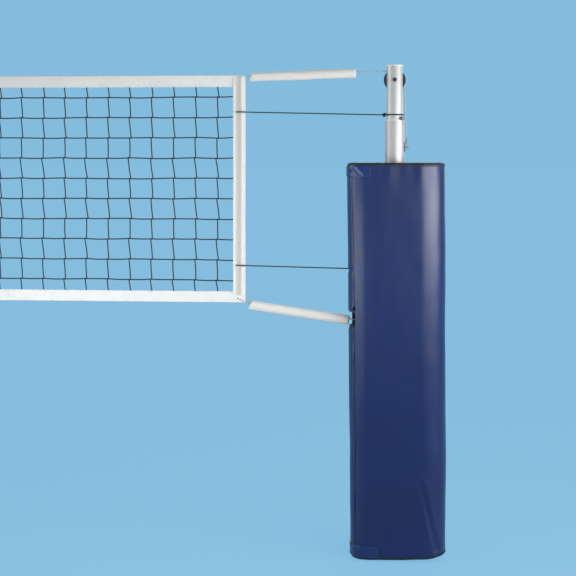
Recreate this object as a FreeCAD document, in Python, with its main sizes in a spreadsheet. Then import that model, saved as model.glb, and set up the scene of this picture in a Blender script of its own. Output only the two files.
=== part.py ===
"""Volleyball net on two telescoping posts, in millimetres.

The origin is at floor level on the right post's axis. X runs along the net, towards the right post's outer
side, Y runs across the net and Z is up. Every post part is drawn with its post's axis at the origin and its
outer side towards +X, and the left post's parts are then turned half round and moved to the left socket.
"""
import FreeCAD, Part
import math
import operator
import os
import Sketcher
from FreeCAD import Placement, Rotation, Vector

doc = FreeCAD.newDocument("VolleyballNet")

# Driving sizes. Heights are above the floor.
SIZES = {
    "post_spacing": 10973.0,
    "socket_depth": 229.0,
    "lower_tube_d": 88.9,
    "lower_tube_wall": 4.0,
    "lower_tube_top": 2025.0,
    "collar_d": 124.0,
    "collar_thick": 8.0,
    "foot_plug_thick": 12.0,
    "upper_tube_d": 76.2,
    "upper_tube_wall": 3.2,
    "upper_tube_top": 2280.0,
    "upper_tube_bottom": 1180.0,
    "bush_flange": 4.0,
    "bush_depth": 60.0,
    "slide_gap": 0.3,
    "seat_gap": 0.05,
    "cap_thick": 4.0,
    "cap_depth": 6.0,
    "sheave_z": 2214.0,
    "sheave_d": 101.6,
    "sheave_thick": 14.0,
    "rope_pitch_r": 43.5,
    "axle_d": 12.0,
    "axle_head_d": 19.0,
    "axle_head_thick": 7.0,
    "sheave_bush_d": 18.0,
    "slot_side_gap": 1.2,
    "slot_end_gap": 5.0,
    "pin_d": 9.5,
    "pin_hole_gap": 0.35,
    "pin_head_d": 18.0,
    "pin_head_thick": 12.0,
    "pin_tail": 8.0,
    "pin_turn": 45.0,
    "height_hole_pitch": 38.0,
    "height_hole_count": 6.0,
    "rope_d": 5.0,
    "cord_d": 5.0,
    "net_top": 2240.0,
    "net_height": 1070.0,
    "net_end": 700.0,
    "hem_fabric": 1.6,
    "top_tape_width": 55.0,
    "bottom_tape_width": 52.0,
    "band_width": 58.0,
    "mesh_thick": 2.0,
    "mesh_string": 4.0,
    "mesh_columns": 48.0,
    "mesh_rows": 6.0,
    "mesh_tuck": 8.0,
    "rod_d": 12.0,
    "rod_inset": 20.0,
    "eyelet_inset": 42.0,
    "eyelet_d": 10.0,
    "eyelet_flange_d": 18.0,
    "eyelet_flange": 1.0,
    "upper_tie_net_z": 2067.0,
    "upper_tie_post_z": 2052.0,
    "lower_tie_net_z": 1346.0,
    "lower_tie_post_z": 1330.0,
    "knot_d": 17.0,
    "stopper_knot_d": 12.0,
    "sleeve_d": 36.0,
    "sleeve_bore": 15.0,
    "top_sleeve_start": 684.0,
    "top_sleeve_end": 187.0,
    "bottom_sleeve_start": 678.0,
    "bottom_sleeve_end": 212.0,
    "corner_drop": 10.0,
    "eye_z": 1079.0,
    "eye_ring_r": 10.0,
    "eye_wire_d": 7.0,
    "eye_reach": 18.0,
    "loop_r": 9.5,
    "anchor_z": 1902.0,
    "anchor_plate_width": 20.0,
    "anchor_plate_height": 46.0,
    "anchor_plate_thick": 3.0,
    "anchor_peg_d": 7.0,
    "anchor_peg_reach": 15.0,
    "anchor_loop_r": 8.5,
    "rivet_d": 5.0,
    "rivet_head_d": 9.0,
    "pad_height": 1820.0,
    "pad_outer_reach": 236.0,
    "pad_net_reach": 221.0,
    "pad_half_depth": 120.0,
    "pad_foam": 68.0,
    "pad_corner_r": 50.0,
    "pad_slit": 8.0,
    "notch_depth": 40.0,
    "notch_width": 48.0,
    "notch_bottom": 1066.0,
    "notch_top": 1140.0,
    "tab_thick": 3.0,
    "tab_front_reach": 112.0,
    "tab_back_reach": 60.0,
    "tab_height": 70.0,
    "tab_margin": 8.0,
    "winch_x": 120.0,
    "winch_z": 1150.0,
    "winch_pocket_width": 148.0,
    "winch_pocket_height": 220.0,
    "winch_pocket_back": 62.0,
    "drum_core_d": 54.0,
    "drum_flange_d": 84.0,
    "drum_flange": 3.0,
    "drum_near_y": 17.0,
    "drum_far_y": 30.0,
    "drum_turns": 4.0,
    "drum_turn_pitch": 5.6,
    "shaft_d": 12.0,
    "plate_thick": 4.0,
    "near_plate_y": 19.0,
    "far_plate_y": 32.0,
    "back_plate_x": 56.0,
    "back_plate_width": 132.0,
    "back_plate_height": 130.0,
    "side_plate_r": 48.0,
    "side_plate_root": 56.0,
    "saddle_width": 60.0,
    "u_bolt_d": 8.0,
    "u_bolt_spread": 48.0,
    "u_bolt_nut_width": 13.0,
    "u_bolt_nut_thick": 6.5,
    "case_r": 46.0,
    "case_depth": 37.0,
    "case_wall": 10.0,
    "cover_thick": 4.0,
    "screw_circle_r": 40.0,
    "screw_d": 6.0,
    "screw_head_d": 10.0,
    "screw_head": 5.0,
    "gear_module": 2.0,
    "wheel_teeth": 30.0,
    "wheel_width": 12.0,
    "wheel_from_plate": 18.5,
    "worm_pitch_r": 11.0,
    "worm_turns": 7.0,
    "tooth_backlash": 0.4,
    "worm_boss_r": 17.0,
    "worm_boss_half": 43.0,
    "worm_bush_length": 8.0,
    "worm_bush_d": 16.0,
    "running_gap": 0.05,
    "crank_x": 284.0,
    "crank_radius": 150.0,
    "crank_arm_width": 24.0,
    "crank_arm_thick": 6.0,
    "crank_collar_d": 18.0,
    "crank_collar": 8.0,
    "handle_bolt_d": 10.0,
    "grip_d": 30.0,
    "grip_waist_d": 25.0,
    "grip_length": 92.0,
    "nut_width": 17.0,
    "nut_thick": 8.0,
}

OPERATIONS = {"+": operator.add, "-": operator.sub, "*": operator.mul, "/": operator.truediv}


class Size:
    """A length that knows its value and the formula that gives it."""

    def __init__(self, value, text):
        self.value = float(value)
        self.text = text

    def __float__(self):
        return self.value

    def __add__(self, other):
        return combine(self, "+", other)

    def __radd__(self, other):
        return combine(other, "+", self)

    def __sub__(self, other):
        return combine(self, "-", other)

    def __rsub__(self, other):
        return combine(other, "-", self)

    def __mul__(self, other):
        return combine(self, "*", other)

    def __rmul__(self, other):
        return combine(other, "*", self)

    def __truediv__(self, other):
        return combine(self, "/", other)

    def __neg__(self):
        return combine(0, "-", self)


def as_size(number):
    return number if isinstance(number, Size) else Size(number, "%.10g" % number)


def combine(first, sign, second):
    first = as_size(first)
    second = as_size(second)
    value = OPERATIONS[sign](first.value, second.value)
    return Size(value, "(%s %s %s)" % (first.text, sign, second.text))


def root(size):
    """Square root of a size, as a size."""
    return Size(math.sqrt(float(size)), "sqrt(%s)" % size.text)


class Sheet:
    """The sizes as cells of the document's spreadsheet, read by name."""

    def __init__(self, sizes):
        self.cells = doc.addObject("Spreadsheet::Sheet", "Sizes")
        for row, (name, value) in enumerate(sizes.items(), 1):
            cell = "A%d" % row
            self.cells.set(cell, "%.10g" % value)
            self.cells.setAlias(cell, name)
        doc.recompute()

    def __getattr__(self, name):
        return Size(self.cells.get(name), "Sizes.%s" % name)


s = Sheet(SIZES)
parts = {}


def stand(piece, left=False, x=0, y=0, z=0, turn=None):
    """Place a piece from its post's frame, the left post's turned half round at the other socket."""
    turn = turn or Rotation()
    if left:
        turn = Rotation(Vector(0, 0, 1), 180) * turn
        x = -(s.post_spacing + x)
        y = -y
    for axis, value in (("x", x), ("y", y), ("z", z)):
        if isinstance(value, Size):
            piece.setExpression("Placement.Base." + axis, value.text)
    piece.Placement = Placement(Vector(float(x), float(y), float(z)), turn)
    return piece


def keep(piece, label):
    """Name a finished piece and list it for the export."""
    piece.Label = label
    parts[label] = piece
    return piece


def new_body(label):
    body = doc.addObject("PartDesign::Body", label)
    return body


def plane_sketch(body, role, offset=None, turn=None):
    """A sketch on one of the body's own origin planes, moved along the plane's normal."""
    sketch = body.newObject("Sketcher::SketchObject", "sketch")
    plane = next(item for item in body.Origin.OriginFeatures if item.Role == role)
    sketch.AttachmentSupport = [(plane, "")]
    sketch.MapMode = "FlatFace"
    if turn is not None:
        sketch.AttachmentOffset = Placement(Vector(0, 0, 0), Rotation(Vector(0, 1, 0), float(turn)))
    if offset is not None:
        sketch.setExpression("AttachmentOffset.Base.z", as_size(offset).text)
    return sketch


def bind(sketch, kind, place, value):
    index = sketch.addConstraint(Sketcher.Constraint(kind, *place, float(value)))
    if isinstance(value, Size):
        sketch.setExpression("Constraints[%d]" % index, value.text)


def circle(sketch, x, y, r):
    centre = Vector(float(x), float(y), 0)
    shape = sketch.addGeometry(Part.Circle(centre, Vector(0, 0, 1), float(r)))
    bind(sketch, "DistanceX", (shape, 3), x)
    bind(sketch, "DistanceY", (shape, 3), y)
    bind(sketch, "Radius", (shape,), r)


def outline(sketch, corners):
    """A closed outline of corners (x, y). A third value is the radius of the arc to the next corner.

    A positive radius turns left on the way and a negative one turns right.
    """
    edges = []
    for index, corner in enumerate(corners):
        following = corners[(index + 1) % len(corners)]
        start = Vector(float(corner[0]), float(corner[1]), 0)
        end = Vector(float(following[0]), float(following[1]), 0)
        if len(corner) == 2:
            edges.append((sketch.addGeometry(Part.LineSegment(start, end)), 1, 2))
            continue
        radius = abs(float(corner[2]))
        left_turn = float(corner[2]) > 0
        first, last = (start, end) if left_turn else (end, start)
        along = last - first
        side = Vector(-along.y, along.x, 0).normalize()
        rise = math.sqrt(max(radius ** 2 - (along.Length / 2) ** 2, 0))
        centre = (first + last) / 2 + side * rise
        ring = Part.Circle(centre, Vector(0, 0, 1), radius)
        low = math.atan2(first.y - centre.y, first.x - centre.x)
        high = math.atan2(last.y - centre.y, last.x - centre.x)
        shape = sketch.addGeometry(Part.ArcOfCircle(ring, low, high))
        edges.append((shape, 1, 2) if left_turn else (shape, 2, 1))
        size = corner[2] if left_turn else -corner[2]
        bind(sketch, "Radius", (shape,), size)
    for index, (shape, begin, finish) in enumerate(edges):
        bind(sketch, "DistanceX", (shape, begin), corners[index][0])
        bind(sketch, "DistanceY", (shape, begin), corners[index][1])
        after = edges[(index + 1) % len(edges)]
        sketch.addConstraint(Sketcher.Constraint("Coincident", shape, finish, after[0], after[1]))


def rectangle(sketch, low_x, low_y, high_x, high_y):
    outline(sketch, [(low_x, low_y), (high_x, low_y), (high_x, high_y), (low_x, high_y)])


def pad(body, sketch, length, middle=False, back=False):
    feature = body.newObject("PartDesign::Pad", "pad")
    feature.Profile = sketch
    feature.SideType = "Symmetric" if middle else "One side"
    feature.Reversed = back
    feature.setExpression("Length", as_size(length).text)
    doc.recompute()
    return feature


def pocket(body, sketch, length, middle=False, back=False):
    """Cut along the sketch's normal, backwards unless back is set, and make sure that it cuts."""
    before = body.Shape.Volume
    feature = body.newObject("PartDesign::Pocket", "pocket")
    feature.Profile = sketch
    feature.SideType = "Symmetric" if middle else "One side"
    feature.Reversed = back
    feature.setExpression("Length", as_size(length).text)
    doc.recompute()
    if body.Shape.Volume >= before:
        raise RuntimeError("a pocket cuts nothing in " + body.Label)
    return feature


def revolve(body, sketch, axis="V_Axis"):
    feature = body.newObject("PartDesign::Revolution", "revolution")
    feature.Profile = sketch
    feature.ReferenceAxis = (sketch, [axis])
    feature.Angle = 360
    doc.recompute()
    return feature


def solid_piece(label, shape):
    """A piece whose form is a path or a thread, which no sketch gives."""
    piece = doc.addObject("Part::Feature", label)
    piece.Shape = shape
    return piece


def turned_body(label, profile):
    """A piece turned about the Y axis, from its outline of (radius, y) corners."""
    body = new_body(label)
    sketch = plane_sketch(body, "XY_Plane")
    outline(sketch, profile)
    revolve(body, sketch)
    return body


def group(label, pieces):
    compound = doc.addObject("Part::Compound", label)
    compound.Links = pieces
    return compound


# Cords and ropes

CORNER_SHARE = 0.45


def rounded_path(points, bends=None):
    """Straight runs joined by tangent arcs, each as large as its shorter run allows unless given."""
    edges = []
    start = points[0]
    for index in range(1, len(points) - 1):
        here = points[index]
        back = points[index - 1] - here
        ahead = points[index + 1] - here
        half = back.getAngle(ahead) / 2
        shorter = min(back.Length, ahead.Length)
        radius = bends[index - 1] if bends else CORNER_SHARE * shorter * math.tan(half)
        reach = radius / math.tan(half)
        back = back.normalize()
        ahead = ahead.normalize()
        middle = (back + ahead).normalize()
        inner = here + middle * (radius / math.sin(half) - radius)
        first = here + back * reach
        last = here + ahead * reach
        edges.append(Part.LineSegment(start, first).toShape())
        edges.append(Part.Arc(first, inner, last).toShape())
        start = last
    edges.append(Part.LineSegment(start, points[-1]).toShape())
    return Part.Wire(edges)


def tube_along(path, diameter):
    """A round tube along a path of tangent edges."""
    first = path.OrderedEdges[0]
    start = first.valueAt(first.FirstParameter)
    direction = first.tangentAt(first.FirstParameter)
    section = Part.Wire(Part.Circle(start, direction, diameter / 2).toShape())
    return path.makePipeShell([section], True, False)


def arc_between(centre, radius, start_degrees, end_degrees):
    """A level arc, from one angle to the other."""
    spots = []
    for share in (0, 0.5, 1):
        angle = math.radians(start_degrees + share * (end_degrees - start_degrees))
        spots.append(centre + Vector(math.cos(angle), math.sin(angle), 0) * radius)
    return Part.Arc(*spots).toShape()


def biarc(start, start_way, end, end_way):
    """Two arcs that leave start along start_way and reach end along end_way."""
    across = end - start
    ways = start_way + end_way
    spread = 2 * (1 - start_way.dot(end_way))
    slope = across.dot(ways)
    reach = (math.sqrt(slope ** 2 + spread * across.dot(across)) - slope) / spread
    joint = (start + start_way * reach + end - end_way * reach) / 2
    arcs = []
    for first, last, peak in ((start, joint, start + start_way * reach), (joint, end, end - end_way * reach)):
        middle = (first + last) / 2
        half_chord = (last - first).Length / 2
        half_turn = math.acos(min(half_chord / (first - peak).Length, 1))
        rise = half_chord * math.tan(half_turn / 2)
        arcs.append(Part.Arc(first, middle + (peak - middle).normalize() * rise, last).toShape())
    return arcs


def slab(body, role, low, high, draw):
    """Fill a sketch between two heights along the axis that its plane faces."""
    offset = -as_size(high) if role == "XZ_Plane" else low
    sketch = plane_sketch(body, role, offset)
    draw(sketch)
    return pad(body, sketch, as_size(high) - low)


def cut(body, role, low, high, draw):
    """Cut a sketch away between two heights along the axis that its plane faces."""
    offset = -as_size(low) if role == "XZ_Plane" else high
    sketch = plane_sketch(body, role, offset)
    draw(sketch)
    return pocket(body, sketch, as_size(high) - low)


def disc(x, y, r):
    return lambda sketch: circle(sketch, x, y, r)


def washer(x, y, outer_r, inner_r):
    def draw(sketch):
        circle(sketch, x, y, outer_r)
        circle(sketch, x, y, inner_r)
    return draw


def plate(low_x, low_y, high_x, high_y):
    return lambda sketch: rectangle(sketch, low_x, low_y, high_x, high_y)


def hexagon(x, y, width):
    """A hexagon of that width across its flats."""
    corner_r = width / math.sqrt(3)
    corners = []
    for index in range(6):
        angle = math.radians(60 * index)
        corners.append((x + corner_r * math.cos(angle), y + corner_r * math.sin(angle)))
    return lambda sketch: outline(sketch, corners)


def facing_front(left):
    """Left post pieces are turned back so that a bolt's head is at the front on both posts."""
    return Rotation(Vector(0, 0, 1), 180 if left else 0)


# Post tubes

lower_r = s.lower_tube_d / 2
lower_bore_r = lower_r - s.lower_tube_wall
upper_r = s.upper_tube_d / 2
upper_bore_r = upper_r - s.upper_tube_wall
pin_z = s.lower_tube_top + s.bush_flange + s.slide_gap + s.pin_d / 2
rivet_rise = s.anchor_plate_height / 2 - s.rivet_head_d / 2 - s.slide_gap
rope_r = s.rope_d / 2
cord_r = s.cord_d / 2


def pin_angle(left):
    """The locking pin points to the front and outwards on both posts."""
    return 180 - s.pin_turn if left else s.pin_turn


def lower_tube(left):
    """The tube that stands in the floor socket, with its welded floor collar."""
    body = new_body("lower_tube")
    slab(body, "XY_Plane", -s.socket_depth, s.lower_tube_top, washer(0, 0, lower_r, lower_bore_r))
    slab(body, "XY_Plane", 0, s.collar_thick, washer(0, 0, s.collar_d / 2, lower_r - s.lower_tube_wall / 2))
    cut(body, "YZ_Plane", -s.lower_tube_d, 0, disc(0, s.eye_z, s.eye_wire_d / 2 + s.seat_gap))
    if not left:
        for side in (-1, 1):
            rivet_z = s.anchor_z + side * rivet_rise
            cut(body, "YZ_Plane", 0, s.lower_tube_d, disc(0, rivet_z, s.rivet_d / 2 + s.seat_gap))
    return stand(body, left)


def upper_tube(left):
    """The sliding mast, slotted for the rope sheave, with its row of height holes."""
    body = new_body("upper_tube")
    slab(body, "XY_Plane", s.upper_tube_bottom, s.upper_tube_top, washer(0, 0, upper_r, upper_bore_r))
    slot = plane_sketch(body, "YZ_Plane")
    half_slot = s.sheave_thick / 2 + s.slot_side_gap
    slot_reach = s.sheave_d / 2 + s.slot_end_gap - half_slot
    outline(slot, [
        (-half_slot, s.sheave_z - slot_reach, half_slot),
        (0, s.sheave_z - slot_reach - half_slot, half_slot),
        (half_slot, s.sheave_z - slot_reach),
        (half_slot, s.sheave_z + slot_reach, half_slot),
        (0, s.sheave_z + slot_reach + half_slot, half_slot),
        (-half_slot, s.sheave_z + slot_reach),
    ])
    pocket(body, slot, s.upper_tube_d * 2, middle=True)
    cut(body, "XZ_Plane", -s.upper_tube_d, s.upper_tube_d, disc(0, s.sheave_z, s.axle_d / 2 + s.seat_gap))
    height_hole = plane_sketch(body, "XZ_Plane", turn=pin_angle(left))
    circle(height_hole, 0, pin_z, s.pin_d / 2 + s.pin_hole_gap)
    hole = pocket(body, height_hole, s.upper_tube_d * 2, middle=True)
    row = body.newObject("PartDesign::LinearPattern", "height_holes")
    row.Originals = [hole]
    row.Direction = (height_hole, ["V_Axis"])
    row.Reversed = True
    row.setExpression("Length", (s.height_hole_pitch * (s.height_hole_count - 1)).text)
    row.setExpression("Occurrences", s.height_hole_count.text)
    body.Tip = row
    doc.recompute()
    return stand(body, left)


def foot_plug(left):
    """The plug that closes the lower tube's end in the socket."""
    body = new_body("foot_plug")
    bottom = -s.socket_depth
    slab(body, "XY_Plane", bottom, bottom + s.foot_plug_thick, disc(0, 0, lower_bore_r - s.seat_gap))
    return stand(body, left)


def guide_bush(left):
    """The flanged collar in the lower tube's mouth that the mast slides in."""
    body = new_body("guide_bush")
    bore_r = upper_r + s.slide_gap
    top = s.lower_tube_top + s.bush_flange
    bottom = s.lower_tube_top - s.bush_depth
    slab(body, "XY_Plane", bottom, top, washer(0, 0, lower_bore_r - s.seat_gap, bore_r))
    slab(body, "XY_Plane", s.lower_tube_top, top, washer(0, 0, lower_r, bore_r))
    return stand(body, left)


def top_cap(left):
    """The cap on the mast, with a plug that reaches a little way into the tube."""
    body = new_body("top_cap")
    slab(body, "XY_Plane", s.upper_tube_top - s.cap_depth, s.upper_tube_top, disc(0, 0, upper_bore_r - s.seat_gap))
    top = slab(body, "XY_Plane", s.upper_tube_top, s.upper_tube_top + s.cap_thick, disc(0, 0, upper_r))
    edge = body.newObject("PartDesign::Fillet", "rim")
    above = float(s.upper_tube_top + s.cap_thick / 2)
    rim = [index for index, item in enumerate(top.Shape.Edges, 1) if item.BoundBox.ZMin > above]
    edge.Base = (top, ["Edge%d" % rim[0]])
    edge.setExpression("Radius", (s.cap_thick / 2).text)
    body.Tip = edge
    doc.recompute()
    return stand(body, left)


def locking_pin(left):
    """The pin through the mast that rests on the guide collar, with its round head outside."""
    head_end = -(lower_r + s.slide_gap)
    head_start = head_end - s.pin_head_thick
    round_edge = s.pin_head_thick / 4
    body = turned_body("locking_pin", [
        (0, head_start),
        (s.pin_head_d / 2 - round_edge, head_start, round_edge),
        (s.pin_head_d / 2, head_start + round_edge),
        (s.pin_head_d / 2, head_end),
        (s.pin_d / 2, head_end),
        (s.pin_d / 2, upper_r + s.pin_tail / 2),
        (s.pin_d / 4, upper_r + s.pin_tail),
        (0, upper_r + s.pin_tail),
    ])
    return stand(body, left, z=pin_z, turn=Rotation(Vector(0, 0, 1), float(pin_angle(left))))


# Sheave at the mast's top

groove_r = rope_r + s.slide_gap
groove_bottom_r = s.rope_pitch_r - groove_r
sheave_half = s.sheave_thick / 2
bush_r = s.sheave_bush_d / 2
bush_half = root(upper_bore_r * upper_bore_r - bush_r * bush_r) - s.slide_gap * 2


def sheave(left):
    """The grooved wheel that the top rope runs over, thinned between its hub and its rim."""
    wheel_r = s.sheave_d / 2
    lip = s.sheave_thick / 8
    web = s.sheave_thick / 4
    hub_r = bush_r + s.sheave_thick / 2
    rim_r = groove_bottom_r - s.sheave_thick / 3
    bore_r = bush_r + s.seat_gap
    body = turned_body("sheave", [
        (bore_r, -sheave_half),
        (hub_r, -sheave_half),
        (hub_r, -web),
        (rim_r, -web),
        (rim_r, -sheave_half),
        (wheel_r, -sheave_half),
        (wheel_r, -sheave_half + lip),
        (s.rope_pitch_r, -groove_r, -groove_r),
        (groove_bottom_r, 0, -groove_r),
        (s.rope_pitch_r, groove_r),
        (wheel_r, sheave_half - lip),
        (wheel_r, sheave_half),
        (rim_r, sheave_half),
        (rim_r, web),
        (hub_r, web),
        (hub_r, sheave_half),
        (bore_r, sheave_half),
    ])
    return stand(body, left, z=s.sheave_z)


def sheave_bush(left):
    """The plain bearing in the sheave, as wide as the mast's bore, which keeps the sheave in the middle."""
    body = new_body("sheave_bush")
    slab(body, "XZ_Plane", -bush_half, bush_half, washer(0, 0, bush_r, s.axle_d / 2 + s.running_gap))
    return stand(body, left, z=s.sheave_z)


def axle_bolt(left):
    """The bolt that carries the sheave, with a domed head at the front."""
    head_end = -(upper_r + s.slide_gap)
    dome = s.axle_head_thick / 2
    tip = upper_r + s.slide_gap + s.nut_thick + s.axle_d / 4
    body = turned_body("axle_bolt", [
        (0, head_end - s.axle_head_thick),
        (s.axle_head_d / 2 - dome, head_end - s.axle_head_thick, dome),
        (s.axle_head_d / 2, head_end - s.axle_head_thick + dome),
        (s.axle_head_d / 2, head_end),
        (s.axle_d / 2, head_end),
        (s.axle_d / 2, tip),
        (0, tip),
    ])
    return stand(body, left, z=s.sheave_z, turn=facing_front(left))


def axle_nut(left):
    """The nut behind the mast that holds the sheave's bolt."""
    body = new_body("axle_nut")
    near = upper_r + s.slide_gap
    slab(body, "XZ_Plane", near, near + s.nut_thick, hexagon(0, 0, s.axle_head_d))
    cut(body, "XZ_Plane", near, near + s.nut_thick, disc(0, 0, s.axle_d / 2 + s.seat_gap))
    return stand(body, left, z=s.sheave_z, turn=facing_front(left))


# Net borders: hems round the ropes, bands round the upright rods

hem_r = rope_r + s.slide_gap + s.hem_fabric
skirt = s.mesh_thick / 2 + s.slide_gap + s.hem_fabric
skirt_bore = s.mesh_thick / 2 + s.slide_gap
net_bottom = s.net_top - s.net_height
top_hem_z = s.net_top - hem_r
bottom_hem_z = net_bottom + hem_r
far_net_end = s.net_end - s.post_spacing


def border_tape(label, edge_z, inward, width):
    """A tape folded over a rope at the net's edge, its two layers holding the mesh between them."""
    hem_z = edge_z + inward * hem_r
    open_z = edge_z + inward * width
    slit_z = hem_z + inward * (rope_r + s.slide_gap + s.hem_fabric)
    body = new_body(label)

    def section(sketch):
        outline(sketch, [
            (-skirt, open_z),
            (-hem_r, hem_z, hem_r * inward),
            (0, edge_z, hem_r * inward),
            (hem_r, hem_z),
            (skirt, open_z),
            (skirt_bore, open_z),
            (skirt_bore, slit_z),
            (-skirt_bore, slit_z),
            (-skirt_bore, open_z),
        ])
        circle(sketch, 0, hem_z, rope_r + s.slide_gap)

    slab(body, "YZ_Plane", far_net_end, -s.net_end, section)
    return body


def side_band(left):
    """The band at the net's end, folded round a stiff upright rod, with eyelets for the tie cords."""
    outer = -s.net_end
    inner = outer - s.band_width
    rod_x = outer - s.rod_inset
    pocket_r = s.rod_d / 2 + s.slide_gap + s.hem_fabric
    shoulder = pocket_r * 0.5
    crown = pocket_r * math.sqrt(3) / 2
    flat_x = rod_x - pocket_r * 1.5
    slit_x = inner + s.mesh_tuck + s.slide_gap
    body = new_body("side_band")

    def section(sketch):
        outline(sketch, [
            (outer, -s.hem_fabric),
            (outer, s.hem_fabric),
            (rod_x + shoulder, crown, pocket_r),
            (rod_x - shoulder, crown),
            (flat_x, skirt),
            (inner, skirt),
            (inner, skirt_bore),
            (slit_x, skirt_bore),
            (slit_x, -skirt_bore),
            (inner, -skirt_bore),
            (inner, -skirt),
            (flat_x, -skirt),
            (rod_x - shoulder, -crown, pocket_r),
            (rod_x + shoulder, -crown),
        ])
        circle(sketch, rod_x, 0, s.rod_d / 2 + s.slide_gap)

    slab(body, "XY_Plane", net_bottom + s.bottom_tape_width, s.net_top - s.top_tape_width, section)
    for height in (s.upper_tie_net_z, s.lower_tie_net_z):
        hole = disc(outer - s.eyelet_inset, height, s.eyelet_d / 2 + s.seat_gap)
        cut(body, "XZ_Plane", -pocket_r, pocket_r, hole)
    return stand(body, left)


def side_rod(left):
    """The stiff rod in the side band's pocket that keeps the net's end upright."""
    body = new_body("side_rod")
    low = net_bottom + s.bottom_tape_width
    high = s.net_top - s.top_tape_width
    slab(body, "XY_Plane", low, high, disc(-s.net_end - s.rod_inset, 0, s.rod_d / 2))
    return stand(body, left)


def eyelet(left, height):
    """A brass eyelet through the side band."""
    flange_r = s.eyelet_flange_d / 2
    barrel_r = s.eyelet_d / 2
    bore_r = barrel_r - s.eyelet_flange
    face = skirt + s.eyelet_flange
    body = turned_body("eyelet", [
        (bore_r, -face),
        (flange_r, -face),
        (flange_r, -skirt),
        (barrel_r, -skirt),
        (barrel_r, skirt),
        (flange_r, skirt),
        (flange_r, face),
        (bore_r, face),
    ])
    return stand(body, left, x=-s.net_end - s.eyelet_inset, z=height)


def net_mesh():
    """The whole net as one holed face, with every second string of the real mesh."""
    low_x = float(far_net_end + s.band_width - s.mesh_tuck)
    high_x = float(-s.net_end - s.band_width + s.mesh_tuck)
    low_z = float(net_bottom + s.bottom_tape_width - s.mesh_tuck)
    high_z = float(s.net_top - s.top_tape_width + s.mesh_tuck)
    string = float(s.mesh_string)
    columns = int(float(s.mesh_columns))
    rows = int(float(s.mesh_rows))
    pitch_x = (high_x - low_x - string) / columns
    pitch_z = (high_z - low_z - string) / rows
    y = -float(s.mesh_thick) / 2

    def frame(x0, z0, x1, z1):
        """Corners in order, so that a frame from high x to low x runs the other way round."""
        corners = [Vector(x0, y, z0), Vector(x1, y, z0), Vector(x1, y, z1), Vector(x0, y, z1)]
        return Part.makePolygon(corners + corners[:1])

    gaps = []
    for column in range(columns):
        for row in range(rows):
            x = low_x + string + column * pitch_x
            z = low_z + string + row * pitch_z
            gaps.append(frame(x + pitch_x - string, z, x, z + pitch_z - string))
    net = Part.Face([frame(low_x, low_z, high_x, high_z)] + gaps)
    return solid_piece("net_mesh", net.extrude(Vector(0, float(s.mesh_thick), 0)))


# Ropes and cords

sheave_centre = Vector(0, 0, float(s.sheave_z))
pitch_r = float(s.rope_pitch_r)
drum_centre = Vector(float(s.winch_x), 0, float(s.winch_z))
winding_r = float(s.drum_core_d / 2 + s.slide_gap + rope_r)
anchor_loop_x = float(lower_r + s.slide_gap + s.anchor_plate_thick + s.anchor_peg_reach / 2)
anchor_loop_z = float(s.anchor_z + s.anchor_loop_r - rope_r - s.anchor_peg_d / 2 - s.slide_gap)
anchor_target = Vector(anchor_loop_x, 0, anchor_loop_z + float(s.anchor_loop_r))


def outer_contact(target, target_r):
    """Where the rope leaves the sheave's outer side on its way down to a point or round a drum."""
    across = target - sheave_centre
    angle = math.atan2(across.z, across.x) + math.acos((pitch_r + target_r) / across.Length)
    return angle


def on_sheave(angle):
    return sheave_centre + Vector(math.cos(angle), 0, math.sin(angle)) * pitch_r


def net_corner():
    return Vector(-float(s.net_end), 0, float(top_hem_z))


def net_contact():
    """The angle at which the rope from the net's corner reaches the sheave."""
    across = net_corner() - sheave_centre
    return math.atan2(across.z, across.x) % (2 * math.pi) - math.acos(pitch_r / across.Length)


right_down = outer_contact(anchor_target, 0)
left_down = outer_contact(drum_centre, winding_r)


def to_left(point):
    return Vector(-float(s.post_spacing) - point.x, -point.y, point.z)


def top_rope():
    """The rope in the top hem, from the left sheave's outer side to the right sheave's."""
    bend = float(s.rope_d) * 5
    corner = net_corner()
    contact = on_sheave(net_contact())
    middle = rounded_path([to_left(contact), to_left(corner), corner, contact], [bend, bend])

    def over_sheave(down):
        angles = (net_contact(), (net_contact() + down) / 2, down)
        return [on_sheave(angle) for angle in angles]

    right = Part.Arc(*over_sheave(right_down)).toShape()
    left = Part.Arc(*[to_left(point) for point in reversed(over_sheave(left_down))]).toShape()
    path = Part.Wire([left] + middle.OrderedEdges + [right])
    return solid_piece("top_rope", tube_along(path, float(s.rope_d)))


def ring(centre, axis, major_r, wire_d):
    return Part.makeTorus(major_r, wire_d / 2, centre, axis)


def anchor_rope():
    """The top rope's fixed end, down the right mast to an eye that is hooked on the anchor peg."""
    start = on_sheave(right_down)
    way = (anchor_target - start).normalize()
    reach = (anchor_target - start).Length
    rope = Part.makeCylinder(float(rope_r), reach, start, way)
    eye = ring(Vector(anchor_loop_x, 0, anchor_loop_z), Vector(1, 0, 0), float(s.anchor_loop_r), float(s.rope_d))
    return solid_piece("anchor_rope", rope.fuse(eye))


def drum_contact():
    return drum_centre - Vector(math.cos(left_down), 0, math.sin(left_down)) * winding_r


def winch_rope():
    """The top rope's hauling part, down the left mast to the winch drum."""
    start = on_sheave(left_down)
    way = (drum_contact() - start).normalize()
    reach = (drum_contact() - start).Length - float(s.rope_d + s.slide_gap)
    return solid_piece("winch_rope", Part.makeCylinder(float(rope_r), reach, start, way))


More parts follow.
